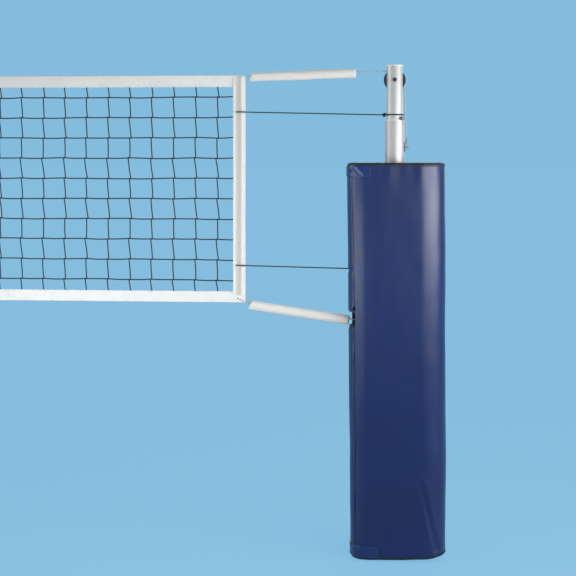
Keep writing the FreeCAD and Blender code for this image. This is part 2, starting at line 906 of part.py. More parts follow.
def wound_rope():
    """The drum's outer layer of rope, one unbroken tube of biarcs of a quarter turn."""
    turns = int(float(s.drum_turns))
    pitch = float(s.drum_turn_pitch)
    start_angle = left_down + math.pi
    climb = -pitch / (2 * math.pi)

    def spot(angle):
        swing = angle - start_angle
        return drum_centre + Vector(math.cos(angle) * winding_r, climb * swing, math.sin(angle) * winding_r)

    def way(angle):
        return Vector(-math.sin(angle) * winding_r, climb, math.cos(angle) * winding_r).normalize()

    angles = [start_angle + index * math.pi / 2 for index in range(turns * 4 + 1)]
    straight = float(s.rope_d)
    edges = [Part.LineSegment(spot(angles[0]) - way(angles[0]) * straight, spot(angles[0])).toShape()]
    for first, last in zip(angles, angles[1:]):
        edges += biarc(spot(first), way(first), spot(last), way(last))
    edges.append(Part.LineSegment(spot(angles[-1]), spot(angles[-1]) + way(angles[-1]) * straight).toShape())
    slope = math.atan(climb / winding_r)
    print("rope winding: least gap between turns %.2f mm" % (pitch * math.cos(slope) - straight))
    return solid_piece("wound_rope", tube_along(Part.Wire(edges), straight))


def tie_loop(post_r, height, rope_x=None):
    """A cord once round a post, and round the rope beside it if there is one, ending at the knot."""
    near_r = float(post_r + s.slide_gap + cord_r)
    centre = Vector(0, 0, height)
    open_angle = math.degrees(math.asin(float(s.cord_d) * 0.6 / near_r))
    if rope_x is None:
        arcs = [arc_between(centre, near_r, 180 + open_angle, 360), arc_between(centre, near_r, 0, 180 - open_angle)]
        return tube_along(Part.Wire(arcs), float(s.cord_d))
    far_r = float(rope_r + s.slide_gap + cord_r)
    turn = math.degrees(math.acos((near_r - far_r) / rope_x))
    far_centre = Vector(rope_x, 0, height)
    first = arc_between(centre, near_r, 180 + open_angle, 360 - turn)
    second = arc_between(far_centre, far_r, -turn, turn)
    third = arc_between(centre, near_r, turn, 180 - open_angle)
    edges = [
        first,
        Part.LineSegment(first.Vertexes[-1].Point, second.Vertexes[0].Point).toShape(),
        second,
        Part.LineSegment(second.Vertexes[-1].Point, third.Vertexes[0].Point).toShape(),
        third,
    ]
    return tube_along(Part.Wire(edges), float(s.cord_d))


def tie_cord(label, net_z, post_z, post_r, side=0, rope_x=None):
    """A tie cord: a knot behind the eyelet, a taut run to a knot at the post, and a loop round the post."""
    eyelet_x = -float(s.net_end + s.eyelet_inset)
    behind = float(skirt + s.eyelet_flange + s.slide_gap + s.stopper_knot_d / 2)
    in_front = -float(s.rod_d / 2 + s.slide_gap + s.hem_fabric + s.cord_d)
    knot = Vector(-float(post_r + s.slide_gap + s.knot_d / 2), side, post_z)
    points = [Vector(eyelet_x, behind, net_z), Vector(eyelet_x, in_front, net_z), knot]
    run = tube_along(rounded_path(points, [float(s.cord_d)]), float(s.cord_d))
    shape = run.fuse([
        Part.makeSphere(float(s.stopper_knot_d) / 2, points[0]),
        Part.makeSphere(float(s.knot_d) / 2, knot),
        tie_loop(post_r, post_z, rope_x),
    ])
    return solid_piece(label, shape)


def rope_beside_mast(down, target, height):
    """How far the hanging rope stands from the mast's axis at a height."""
    start = on_sheave(down)
    share = (start.z - height) / (start.z - target.z)
    return start.x + share * (target.x - start.x)


def upper_tie(left):
    """The upper cord, tied round the mast and the rope that runs down beside it."""
    height = float(s.upper_tie_post_z)
    if left:
        beside = rope_beside_mast(left_down, drum_contact(), height)
    else:
        beside = rope_beside_mast(right_down, anchor_target, height)
    tie = tie_cord("upper_tie", float(s.upper_tie_net_z), height, upper_r, rope_x=beside)
    return stand(tie, left)


def lower_tie(left):
    """The lower cord, which goes in at the pad's closure and is tied round the lower tube."""
    tie = tie_cord("lower_tie", float(s.lower_tie_net_z), float(s.lower_tie_post_z), lower_r, side=float(cord_r))
    return stand(tie, left)


eye_x = -(lower_r + s.eye_reach)
eye_bore = s.eye_ring_r - s.eye_wire_d / 2


def bottom_eye(left):
    """The eye bolt in the lower tube that the bottom rope is tied to."""
    eye = Part.makeTorus(float(s.eye_ring_r), float(s.eye_wire_d / 2), Vector(float(eye_x), 0, float(s.eye_z)))
    stem_start = eye_x + s.eye_ring_r
    stem_end = -(lower_bore_r - s.lower_tube_wall)
    length = float(stem_end - stem_start)
    start = Vector(float(stem_start), 0, float(s.eye_z))
    stem = Part.makeCylinder(float(s.eye_wire_d / 2), length, start, Vector(1, 0, 0))
    collar_start = Vector(-float(lower_r + s.slide_gap + s.eye_wire_d / 2), 0, float(s.eye_z))
    collar = Part.makeCylinder(float(s.eye_wire_d), float(s.eye_wire_d / 2), collar_start, Vector(1, 0, 0))
    return stand(solid_piece("bottom_eye", eye.fuse([stem, collar])), left)


loop_centre_x = eye_x - (eye_bore - rope_r - s.slide_gap) - s.loop_r


def corner_route():
    """The bottom rope's route from the net's lower corner to its loop at the post."""
    start_x = -float(s.net_end)
    step = float(s.corner_drop)
    top = float(bottom_hem_z)
    return [
        Vector(start_x, 0, top),
        Vector(start_x + step * 0.7, 0, top),
        Vector(start_x + step * 1.8, 0, top - step),
        Vector(float(loop_centre_x - s.loop_r), 0, float(s.eye_z)),
    ]


def corner_rope(left):
    """The bottom rope's end, from the net's lower corner to a loop through the eye bolt."""
    rope = tube_along(rounded_path(corner_route()), float(s.rope_d))
    loop = ring(Vector(float(loop_centre_x), 0, float(s.eye_z)), Vector(0, 1, 0), float(s.loop_r), float(s.rope_d))
    return stand(solid_piece("corner_rope", rope.fuse(loop)), left)


def bottom_rope():
    """The rope in the bottom hem."""
    body = new_body("bottom_rope")
    slab(body, "YZ_Plane", far_net_end, -s.net_end, disc(0, bottom_hem_z, rope_r))
    return body


def sleeve(label, line_start, line_end, near_x, far_x, left):
    """A padded tube that hangs on a taut rope, from one distance from the post's axis to another."""
    way = (line_end - line_start).normalize()
    hang = float(s.sleeve_bore / 2 - rope_r - s.slide_gap)
    down = Vector(way.z, 0, -way.x)
    start = line_start + way * ((-far_x - line_start.x) / way.x) + down * hang
    length = (far_x - near_x) / way.x
    body = new_body(label)
    slab(body, "XY_Plane", 0, length, washer(0, 0, s.sleeve_d / 2, s.sleeve_bore / 2))
    tilt = Rotation(Vector(0, 0, 1), way)
    return stand(body, left, start.x, start.y, start.z, tilt)


def top_sleeve(left):
    """The white sleeve round the top rope, between the net and the post."""
    line = (net_corner(), on_sheave(net_contact()))
    return sleeve("top_sleeve", *line, float(s.top_sleeve_end), float(s.top_sleeve_start), left)


def bottom_sleeve(left):
    """The white sleeve round the bottom rope, whose end goes into the pad's side."""
    route = corner_route()
    reach = (float(s.bottom_sleeve_end), float(s.bottom_sleeve_start))
    return sleeve("bottom_sleeve", route[2], route[3], *reach, left)


# Rope anchor on the right post

def rope_anchor():
    """The plate on the lower tube with the peg that holds the rope's eye."""
    body = new_body("rope_anchor")
    near = lower_r + s.slide_gap
    face = near + s.anchor_plate_thick
    tip = face + s.anchor_peg_reach
    half_width = s.anchor_plate_width / 2
    low = s.anchor_z - s.anchor_plate_height / 2
    high = s.anchor_z + s.anchor_plate_height / 2
    slab(body, "YZ_Plane", near, face, plate(-half_width, low, half_width, high))
    slab(body, "YZ_Plane", face, tip, disc(0, s.anchor_z, s.anchor_peg_d / 2))
    slab(body, "YZ_Plane", tip - s.anchor_plate_thick, tip, disc(0, s.anchor_z, s.anchor_peg_d))
    for side in (-1, 1):
        cut(body, "YZ_Plane", near, face, disc(0, s.anchor_z + side * rivet_rise, s.rivet_d / 2 + s.seat_gap))
    return body


def anchor_rivet(side):
    """A rivet that holds the anchor plate to the lower tube."""
    body = new_body("anchor_rivet")
    face = lower_r + s.slide_gap + s.anchor_plate_thick
    height = s.anchor_z + side * rivet_rise
    slab(body, "YZ_Plane", lower_bore_r - s.rivet_d / 5, face, disc(0, height, s.rivet_d / 2))
    slab(body, "YZ_Plane", face, face + s.rivet_d / 2, disc(0, height, s.rivet_head_d / 2))
    return body


# Pads

pad_bottom = s.collar_thick + s.slide_gap
pad_top = pad_bottom + s.pad_height
end_x = s.pad_outer_reach - s.pad_half_depth
cavity_half = s.pad_half_depth - s.pad_foam
inner_corner = s.pad_corner_r / 4


def post_pad(left):
    """The foam pad round the post, open down its net side, with a notch for the bottom sleeve."""
    net_side = -s.pad_net_reach
    cavity_side = net_side + s.pad_foam
    side_y = s.pad_half_depth - s.pad_corner_r
    slit = s.pad_slit / 2
    body = new_body("pad")
    slab(body, "XY_Plane", pad_bottom, pad_top, lambda sketch: outline(sketch, [
        (net_side, -slit),
        (net_side, -side_y, s.pad_corner_r),
        (net_side + s.pad_corner_r, -s.pad_half_depth),
        (end_x, -s.pad_half_depth, s.pad_half_depth),
        (s.pad_outer_reach, 0, s.pad_half_depth),
        (end_x, s.pad_half_depth),
        (net_side + s.pad_corner_r, s.pad_half_depth, s.pad_corner_r),
        (net_side, side_y),
        (net_side, slit),
        (cavity_side, slit),
        (cavity_side, cavity_half - inner_corner, -inner_corner),
        (cavity_side + inner_corner, cavity_half),
        (end_x, cavity_half, -cavity_half),
        (end_x + cavity_half, 0, -cavity_half),
        (end_x, -cavity_half),
        (cavity_side + inner_corner, -cavity_half, -inner_corner),
        (cavity_side, -(cavity_half - inner_corner)),
        (cavity_side, -slit),
    ]))
    notch = plate(net_side - s.pad_slit, s.notch_bottom, net_side + s.notch_depth, s.notch_top)
    cut(body, "XZ_Plane", -s.notch_width / 2, s.notch_width / 2, notch)
    if left:
        half = s.winch_pocket_height / 2
        room = plate(-s.winch_pocket_back, s.winch_z - half, s.pad_outer_reach + s.pad_slit, s.winch_z + half)
        cut(body, "XZ_Plane", -s.winch_pocket_width / 2, s.winch_pocket_width / 2, room)
    return stand(body, left)


def closure_tab(left, low):
    """A strap round the pad's net-side edge that holds its closure shut."""
    gap = s.slide_gap
    out = gap + s.tab_thick
    net_side = -s.pad_net_reach
    side_y = s.pad_half_depth - s.pad_corner_r
    corner_x = net_side + s.pad_corner_r
    front_x = net_side + s.tab_front_reach
    back_x = net_side + s.tab_back_reach
    if left:
        front_x, back_x = back_x, front_x
    inner_r = s.pad_corner_r + gap
    outer_r = s.pad_corner_r + out
    body = new_body("tab")
    slab(body, "XY_Plane", low, low + s.tab_height, lambda sketch: outline(sketch, [
        (front_x, -s.pad_half_depth - out),
        (front_x, -s.pad_half_depth - gap),
        (corner_x, -s.pad_half_depth - gap, -inner_r),
        (net_side - gap, -side_y),
        (net_side - gap, side_y, -inner_r),
        (corner_x, s.pad_half_depth + gap),
        (back_x, s.pad_half_depth + gap),
        (back_x, s.pad_half_depth + out),
        (corner_x, s.pad_half_depth + out, outer_r),
        (net_side - out, side_y),
        (net_side - out, -side_y, outer_r),
        (corner_x, -s.pad_half_depth - out),
    ]))
    return stand(body, left)


# Winch on the left post, drawn with its outer side towards +X

near_plate_end = s.near_plate_y + s.plate_thick
far_plate_end = -(s.far_plate_y + s.plate_thick)
case_end = near_plate_end + s.case_depth
cover_end = case_end + s.cover_thick
wheel_pitch_r = s.gear_module * s.wheel_teeth / 2
wheel_y = near_plate_end + s.wheel_from_plate
worm_z = s.winch_z - wheel_pitch_r - s.worm_pitch_r
plate_x = s.back_plate_x
side_x = plate_x + s.plate_thick
shaft_r = s.shaft_d / 2
bush_outer_r = s.worm_bush_d / 2
leg_y = lower_r + s.slide_gap + s.u_bolt_d / 2


def winch_frame():
    """The steel frame: a back plate for the U bolts and two cheeks that carry the drum."""
    body = new_body("winch_frame")
    half_width = s.back_plate_width / 2
    half_height = s.back_plate_height / 2
    low_z = s.winch_z - half_height
    slab(body, "YZ_Plane", plate_x, side_x, plate(-half_width, low_z, half_width, s.winch_z + half_height))
    cheek = [
        (plate_x, s.winch_z - s.side_plate_root),
        (s.winch_x, s.winch_z - s.side_plate_r, s.side_plate_r),
        (s.winch_x + s.side_plate_r, s.winch_z, s.side_plate_r),
        (s.winch_x, s.winch_z + s.side_plate_r),
        (plate_x, s.winch_z + s.side_plate_root),
    ]
    slab(body, "XZ_Plane", s.near_plate_y, near_plate_end, lambda sketch: outline(sketch, cheek))
    slab(body, "XZ_Plane", far_plate_end, -s.far_plate_y, lambda sketch: outline(sketch, cheek))
    shaft_hole = disc(s.winch_x, s.winch_z, bush_outer_r + s.seat_gap)
    cut(body, "XZ_Plane", far_plate_end, near_plate_end, shaft_hole)
    for x, z in screw_places():
        hole = disc(x, z, s.screw_d / 2 + s.seat_gap)
        cut(body, "XZ_Plane", s.near_plate_y, near_plate_end, hole)
    for side in (-1, 1):
        for level in (-1, 1):
            hole = disc(side * leg_y, s.winch_z + level * s.u_bolt_spread, s.u_bolt_d / 2 + s.slide_gap)
            cut(body, "YZ_Plane", plate_x, side_x, hole)
    return stand(body, True)


def screw_places():
    """The gear case's four screws, over the top of the worm wheel."""
    places = []
    for degrees in (0, 60, 120, 180):
        angle = math.radians(degrees)
        x = s.winch_x + s.screw_circle_r * math.cos(angle)
        z = s.winch_z + s.screw_circle_r * math.sin(angle)
        places.append((x, z))
    return places


def winch_saddle():
    """The block between the tube and the winch's back plate, hollowed to the tube."""
    body = new_body("winch_saddle")
    half = s.saddle_width / 2
    hollow_r = lower_r + s.slide_gap
    reach = root(hollow_r * hollow_r - half * half)
    half_height = s.back_plate_height / 2
    slab(body, "XY_Plane", s.winch_z - half_height, s.winch_z + half_height, lambda sketch: outline(sketch, [
        (reach, -half),
        (plate_x, -half),
        (plate_x, half),
        (reach, half, -hollow_r),
    ]))
    return stand(body, True)


def u_bolt(level):
    """A U bolt round the lower tube, its legs through the back plate."""
    height = float(s.winch_z) + level * float(s.u_bolt_spread)
    leg = float(leg_y)
    end = float(side_x + s.u_bolt_nut_thick + s.u_bolt_d / 2)
    path = Part.Wire([
        Part.LineSegment(Vector(end, -leg, height), Vector(0, -leg, height)).toShape(),
        Part.Arc(Vector(0, -leg, height), Vector(-leg, 0, height), Vector(0, leg, height)).toShape(),
        Part.LineSegment(Vector(0, leg, height), Vector(end, leg, height)).toShape(),
    ])
    return stand(solid_piece("u_bolt", tube_along(path, float(s.u_bolt_d))), True)


def u_bolt_nut(side, level):
    """A nut on a U bolt's leg."""
    body = new_body("u_bolt_nut")
    height = s.winch_z + level * s.u_bolt_spread
    slab(body, "YZ_Plane", side_x, side_x + s.u_bolt_nut_thick, hexagon(side * leg_y, height, s.u_bolt_nut_width))
    hole = disc(side * leg_y, height, s.u_bolt_d / 2 + s.seat_gap)
    cut(body, "YZ_Plane", side_x, side_x + s.u_bolt_nut_thick, hole)
    return stand(body, True)


tunnel_r = s.worm_pitch_r + s.gear_module + s.slide_gap * 2
wheel_room_r = wheel_pitch_r + s.gear_module + s.slide_gap * 4
bush_reach = s.worm_boss_half - s.worm_bush_length


def gear_case():
    """The cast case: a round chamber for the worm wheel and a tunnel across it for the worm."""
    body = new_body("gear_case")
    boss_low = s.winch_x - s.worm_boss_half
    boss_high = s.winch_x + s.worm_boss_half
    slab(body, "XZ_Plane", near_plate_end, case_end, disc(s.winch_x, s.winch_z, s.case_r))
    slab(body, "YZ_Plane", boss_low, boss_high, disc(wheel_y, worm_z, s.worm_boss_r))
    chamber = disc(s.winch_x, s.winch_z, wheel_room_r)
    cut(body, "XZ_Plane", near_plate_end + s.case_wall, case_end, chamber)
    cut(body, "YZ_Plane", s.winch_x - bush_reach, s.winch_x + bush_reach, disc(wheel_y, worm_z, tunnel_r))
    cut(body, "YZ_Plane", boss_low, boss_high, disc(wheel_y, worm_z, bush_outer_r + s.seat_gap))
    shaft_hole = disc(s.winch_x, s.winch_z, bush_outer_r + s.seat_gap)
    cut(body, "XZ_Plane", near_plate_end, near_plate_end + s.case_wall, shaft_hole)
    for x, z in screw_places():
        cut(body, "XZ_Plane", near_plate_end, case_end, disc(x, z, s.screw_d / 2 + s.seat_gap))
    return stand(body, True)


def case_cover():
    """The cover that closes the worm wheel's chamber, with a boss over the shaft's end."""
    body = new_body("case_cover")
    slab(body, "XZ_Plane", case_end, cover_end, disc(s.winch_x, s.winch_z, s.case_r))
    boss_end = cover_end + s.cover_thick
    slab(body, "XZ_Plane", cover_end, boss_end, disc(s.winch_x, s.winch_z, bush_outer_r + s.cover_thick))
    cut(body, "XZ_Plane", case_end, cover_end, disc(s.winch_x, s.winch_z, shaft_r + s.running_gap))
    for x, z in screw_places():
        cut(body, "XZ_Plane", case_end, cover_end, disc(x, z, s.screw_d / 2 + s.seat_gap))
    return stand(body, True)


def case_screw(x, z):
    """A screw through the cover and the case into the frame's cheek."""
    body = new_body("case_screw")
    slab(body, "XZ_Plane", s.near_plate_y, cover_end, disc(x, z, s.screw_d / 2))
    slab(body, "XZ_Plane", cover_end, cover_end + s.screw_head, disc(x, z, s.screw_head_d / 2))
    return stand(body, True)


def shaft_bush(role, low, high, across, up):
    """A plain bronze bush."""
    body = new_body("shaft_bush")
    slab(body, role, low, high, washer(across, up, bush_outer_r, shaft_r + s.running_gap))
    return stand(body, True)


def winch_bushes():
    """The four bushes of the drum's shaft and the worm's shaft."""
    low = s.winch_x - s.worm_boss_half
    high = s.winch_x + s.worm_boss_half
    return [
        shaft_bush("XZ_Plane", far_plate_end, -s.far_plate_y, s.winch_x, s.winch_z),
        shaft_bush("XZ_Plane", near_plate_end, near_plate_end + s.case_wall, s.winch_x, s.winch_z),
        shaft_bush("YZ_Plane", low, low + s.worm_bush_length, wheel_y, worm_z),
        shaft_bush("YZ_Plane", high - s.worm_bush_length, high, wheel_y, worm_z),
    ]


def winch_drum():
    """The drum that the top rope winds on, with a flange at each end."""
    core_r = s.drum_core_d / 2
    flange_r = s.drum_flange_d / 2
    bore_r = shaft_r + s.seat_gap
    body = turned_body("winch_drum", [
        (bore_r, -s.drum_far_y),
        (flange_r, -s.drum_far_y),
        (flange_r, -s.drum_far_y + s.drum_flange),
        (core_r, -s.drum_far_y + s.drum_flange),
        (core_r, s.drum_near_y - s.drum_flange),
        (flange_r, s.drum_near_y - s.drum_flange),
        (flange_r, s.drum_near_y),
        (bore_r, s.drum_near_y),
    ])
    return stand(body, True, x=s.winch_x, z=s.winch_z)


def drum_shaft():
    """The shaft that joins the drum and the worm wheel, headed outside the far cheek."""
    body = new_body("drum_shaft")
    head_end = far_plate_end - s.slide_gap
    centre = (s.winch_x, s.winch_z)
    slab(body, "XZ_Plane", head_end - s.plate_thick, case_end + s.cover_thick / 2, disc(*centre, shaft_r))
    slab(body, "XZ_Plane", head_end - s.plate_thick, head_end, disc(*centre, bush_outer_r + s.cover_thick))
    return stand(body, True)


def worm_wheel():
    """The worm wheel: a toothed disc whose gaps are cut with hollow flanks."""
    tip_r = wheel_pitch_r + s.gear_module
    root_r = wheel_pitch_r - s.gear_module * 1.25
    flank_r = wheel_pitch_r * math.sin(math.radians(20))
    gap_pitch = s.gear_module * math.pi / 4 + s.tooth_backlash
    gap_root = gap_pitch - s.gear_module * 0.35
    gap_tip = gap_pitch + s.gear_module * 0.45
    body = new_body("worm_wheel")
    half = s.wheel_width / 2
    slab(body, "XZ_Plane", -half, half, washer(0, 0, tip_r, shaft_r + s.seat_gap))
    sketch = plane_sketch(body, "XZ_Plane", half)
    outline(sketch, [
        (-gap_tip, -tip_r),
        (-gap_tip, -tip_r - s.gear_module),
        (gap_tip, -tip_r - s.gear_module),
        (gap_tip, -tip_r, -flank_r),
        (gap_pitch, -wheel_pitch_r, -flank_r),
        (gap_root, -root_r),
        (-gap_root, -root_r, -flank_r),
        (-gap_pitch, -wheel_pitch_r, -flank_r),
    ])
    gap = pocket(body, sketch, s.wheel_width)
    teeth = body.newObject("PartDesign::PolarPattern", "teeth")
    teeth.Originals = [gap]
    teeth.Axis = (sketch, ["N_Axis"])
    teeth.Angle = 360
    teeth.setExpression("Occurrences", s.wheel_teeth.text)
    body.Tip = teeth
    doc.recompute()
    return stand(body, True, x=s.winch_x, y=wheel_y, z=s.winch_z)


def worm_shaft():
    """The crank's shaft, with the worm's thread on it and a collar where the crank arm seats."""
    lead = math.pi * float(s.gear_module)
    module = float(s.gear_module)
    pitch = float(s.worm_pitch_r)
    slope = math.tan(math.radians(20))
    root_half = lead / 4 - float(s.tooth_backlash) + 1.25 * module * slope
    tip_half = lead / 4 - float(s.tooth_backlash) - module * slope
    core_r = pitch - 1.25 * module
    sink = module / 4
    turns = float(s.worm_turns)
    helix = Part.makeHelix(lead, lead * turns, core_r)
    corners = [
        Vector(core_r - sink, 0, -root_half - sink * slope),
        Vector(pitch + module, 0, -tip_half),
        Vector(pitch + module, 0, tip_half),
        Vector(core_r - sink, 0, root_half + sink * slope),
    ]
    section = Part.makePolygon(corners + corners[:1])
    thread = Part.Wire(helix).makePipeShell([section], True, True)
    half_core = lead * (turns / 2 + 0.75)
    core = Part.makeCylinder(core_r, half_core * 2, Vector(0, 0, lead * turns / 2 - half_core))
    worm = core.fuse(thread)
    worm.rotate(Vector(0, 0, 0), Vector(0, 1, 0), 90)
    worm.translate(Vector(float(s.winch_x) - lead * turns / 2, float(wheel_y), float(worm_z)))
    inner_x = float(s.winch_x - s.worm_boss_half)
    tip_x = float(s.crank_x + s.crank_arm_thick + s.nut_thick + s.shaft_d / 4)
    axis = Vector(1, 0, 0)
    shaft = Part.makeCylinder(float(shaft_r), tip_x - inner_x, Vector(inner_x, float(wheel_y), float(worm_z)), axis)
    collar_start = Vector(float(s.crank_x - s.crank_collar), float(wheel_y), float(worm_z))
    collar = Part.makeCylinder(float(s.crank_collar_d / 2), float(s.crank_collar), collar_start, axis)
    return stand(solid_piece("worm_shaft", shaft.fuse([worm, collar])), True)


# Crank, hanging straight down

crank_end = s.crank_x + s.crank_arm_thick
handle_z = worm_z - s.crank_radius
handle_r = s.handle_bolt_d / 2


def crank_arm():
    """The flat crank arm, round at both ends."""
    half = s.crank_arm_width / 2
    body = new_body("crank_arm")
    slab(body, "YZ_Plane", s.crank_x, crank_end, lambda sketch: outline(sketch, [
        (wheel_y - half, handle_z, half),
        (wheel_y, handle_z - half, half),
        (wheel_y + half, handle_z),
        (wheel_y + half, worm_z, half),
        (wheel_y, worm_z + half, half),
        (wheel_y - half, worm_z),
    ]))
    cut(body, "YZ_Plane", s.crank_x, crank_end, disc(wheel_y, worm_z, shaft_r + s.seat_gap))
    cut(body, "YZ_Plane", s.crank_x, crank_end, disc(wheel_y, handle_z, handle_r + s.seat_gap))
    return stand(body, True)


def crank_nut(near, height, bore_r):
    """A nut on the crank: one holds the arm on its shaft and one the handle's bolt."""
    body = new_body("crank_nut")
    slab(body, "YZ_Plane", near, near + s.nut_thick, hexagon(wheel_y, height, s.nut_width))
    cut(body, "YZ_Plane", near, near + s.nut_thick, disc(wheel_y, height, bore_r + s.seat_gap))
    return stand(body, True)


def handle_bolt():
    """The bolt that the grip turns on."""
    body = new_body("handle_bolt")
    head = crank_end + s.slide_gap * 2 + s.grip_length
    slab(body, "YZ_Plane", s.crank_x - s.nut_thick, head, disc(wheel_y, handle_z, handle_r))
    slab(body, "YZ_Plane", head, head + s.plate_thick, disc(wheel_y, handle_z, s.grip_waist_d / 2 - s.plate_thick))
    return stand(body, True)


def crank_grip():
    """The grip, a little slimmer in the middle, free to turn on its bolt."""
    outer = s.grip_d / 2
    waist = s.grip_waist_d / 2
    bore_r = handle_r + s.running_gap
    rise = outer - waist
    quarter = s.grip_length / 4
    hollow_r = (quarter * quarter + rise * rise) / (rise * 2)
    body = turned_body("crank_grip", [
        (bore_r, 0),
        (outer - rise, 0, rise),
        (outer, rise),
        (outer, quarter, -hollow_r),
        (waist, quarter * 2, -hollow_r),
        (outer, quarter * 3),
        (outer, quarter * 4 - rise, rise),
        (outer - rise, quarter * 4),
        (bore_r, quarter * 4),
    ])
    along = Rotation(Vector(0, 1, 0), Vector(1, 0, 0))
    return stand(body, True, x=crank_end + s.slide_gap, y=wheel_y, z=handle_z, turn=along)


# The whole object

SIDES = (("right", False), ("left", True))

for side_name, is_left in SIDES:
    keep(lower_tube(is_left), side_name + "_lower_tube")
    keep(upper_tube(is_left), side_name + "_upper_tube")
    keep(top_cap(is_left), side_name + "_top_cap")
    keep(locking_pin(is_left), side_name + "_locking_pin")
    keep(sheave(is_left), side_name + "_sheave")
    keep(sheave_bush(is_left), side_name + "_sheave_bush")
    keep(axle_bolt(is_left), side_name + "_axle_bolt")
    keep(axle_nut(is_left), side_name + "_axle_nut")
    keep(side_band(is_left), side_name + "_side_band")
    keep(top_sleeve(is_left), side_name + "_top_sleeve")
    keep(bottom_sleeve(is_left), side_name + "_bottom_sleeve")
    keep(post_pad(is_left), side_name + "_pad")

BOTH = (
    ("foot_plugs", foot_plug),
    ("guide_bushes", guide_bush),
    ("bottom_eyes", bottom_eye),
    ("side_rods", side_rod),
    ("upper_ties", upper_tie),
    ("lower_ties", lower_tie),
    ("corner_ropes", corner_rope),
)
for name, make in BOTH:
    keep(group(name, [make(is_left) for side_name, is_left in SIDES]), name)

keep(border_tape("top_tape", s.net_top, -1, s.top_tape_width), "top_tape")
keep(border_tape("bottom_tape", net_bottom, 1, s.bottom_tape_width), "bottom_tape")
keep(net_mesh(), "net_mesh")
keep(top_rope(), "top_rope")
keep(bottom_rope(), "bottom_rope")
tie_heights = (s.upper_tie_net_z, s.lower_tie_net_z)
keep(group("eyelets", [eyelet(is_left, z) for side_name, is_left in SIDES for z in tie_heights]), "eyelets")

keep(rope_anchor(), "rope_anchor")
keep(group("anchor_rivets", [anchor_rivet(side) for side in (-1, 1)]), "anchor_rivets")
keep(anchor_rope(), "anchor_rope")
tab_heights = (pad_bottom + s.tab_margin, pad_top - s.tab_margin - s.tab_height)
for side_name, is_left in SIDES:
    keep(group(side_name + "_tabs", [closure_tab(is_left, low) for low in tab_heights]), side_name + "_pad_tabs")

keep(stand(winch_rope(), True), "winch_rope")
keep(stand(wound_rope(), True), "wound_rope")
keep(winch_frame(), "winch_frame")
keep(winch_saddle(), "winch_saddle")
keep(group("u_bolts", [u_bolt(level) for level in (-1, 1)]), "winch_u_bolts")
nuts = [u_bolt_nut(side, level) for side in (-1, 1) for level in (-1, 1)]
keep(group("u_bolt_nuts", nuts), "winch_u_bolt_nuts")
keep(gear_case(), "gear_case")
keep(case_cover(), "gear_case_cover")
keep(group("case_screws", [case_screw(x, z) for x, z in screw_places()]), "gear_case_screws")
keep(group("bushes", winch_bushes()), "winch_bushes")
keep(winch_drum(), "winch_drum")
keep(drum_shaft(), "drum_shaft")
keep(worm_wheel(), "worm_wheel")
keep(worm_shaft(), "worm_shaft")
keep(crank_arm(), "crank_arm")
crank_nuts = [crank_nut(crank_end, worm_z, shaft_r), crank_nut(s.crank_x - s.nut_thick, handle_z, handle_r)]
keep(group("nuts", crank_nuts), "crank_nuts")
keep(handle_bolt(), "crank_handle_bolt")
keep(crank_grip(), "crank_grip")

doc.recompute()
for item in doc.Objects:
    if "Invalid" in item.State or "Error" in item.State:
        raise RuntimeError("%s is %s" % (item.Label, item.State))
for label, piece in parts.items():
    if piece.Shape.isNull() or not piece.Shape.isValid():
        raise RuntimeError(label + " has no valid shape")

os.makedirs("parts", exist_ok=True)
for label, piece in parts.items():
    piece.Shape.exportStep("parts/%s.step" % label)
print(len(parts), "parts")
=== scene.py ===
# %% [markdown]
# # A volleyball net on two padded posts
#
# The net hangs on a rope between two telescoping posts that stand in floor sockets. The CAD model gives every
# hard part its shape. This lesson adds what a CAD model leaves plain: padded vinyl, sewn tape, knotted twine,
# rope, and a finish for every surface. Lengths are in metres. X runs along the net, Y across it and Z up, and
# the right post stands at the origin.

from math import acos, asin, atan2, copysign, cos, exp, pi, radians, sin, sqrt

import bmesh
import bpy
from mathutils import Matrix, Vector, noise


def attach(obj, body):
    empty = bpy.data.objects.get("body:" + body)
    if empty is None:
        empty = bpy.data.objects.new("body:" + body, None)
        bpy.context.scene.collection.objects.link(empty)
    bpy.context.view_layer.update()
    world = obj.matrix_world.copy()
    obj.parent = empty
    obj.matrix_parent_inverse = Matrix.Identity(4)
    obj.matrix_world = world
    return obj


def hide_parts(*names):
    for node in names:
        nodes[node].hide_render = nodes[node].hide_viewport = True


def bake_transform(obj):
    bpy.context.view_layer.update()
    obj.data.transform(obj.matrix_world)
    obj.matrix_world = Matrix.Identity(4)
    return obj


TURN = 2 * pi
POST_SPACING = 10.973

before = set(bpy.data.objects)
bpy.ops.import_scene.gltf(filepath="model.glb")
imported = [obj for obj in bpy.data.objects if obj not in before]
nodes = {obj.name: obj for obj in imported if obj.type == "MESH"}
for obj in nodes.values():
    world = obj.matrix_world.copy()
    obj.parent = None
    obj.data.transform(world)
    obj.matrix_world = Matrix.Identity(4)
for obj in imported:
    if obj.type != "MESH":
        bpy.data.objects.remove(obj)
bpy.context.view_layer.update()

# %% [markdown]
# The camera comes first, so that every later look is judged from the photograph's own place. It stands level
# in front of the right post, a little above head height, with a long lens. Level lines stay level and posts
# stay upright, so the lens is shifted down instead of being tilted.

# %% Camera
CAMERA_PLACE = (-0.066, -5.761, 1.888)
CAMERA_TURN_DEGREES = 4.3
LENS_MM, SENSOR_MM = 76.9, 36.0
LENS_SHIFT_DOWN = 0.2396


def add_object(name, data):
    made = bpy.data.objects.new(name, data)
    bpy.context.scene.collection.objects.link(made)
    return made


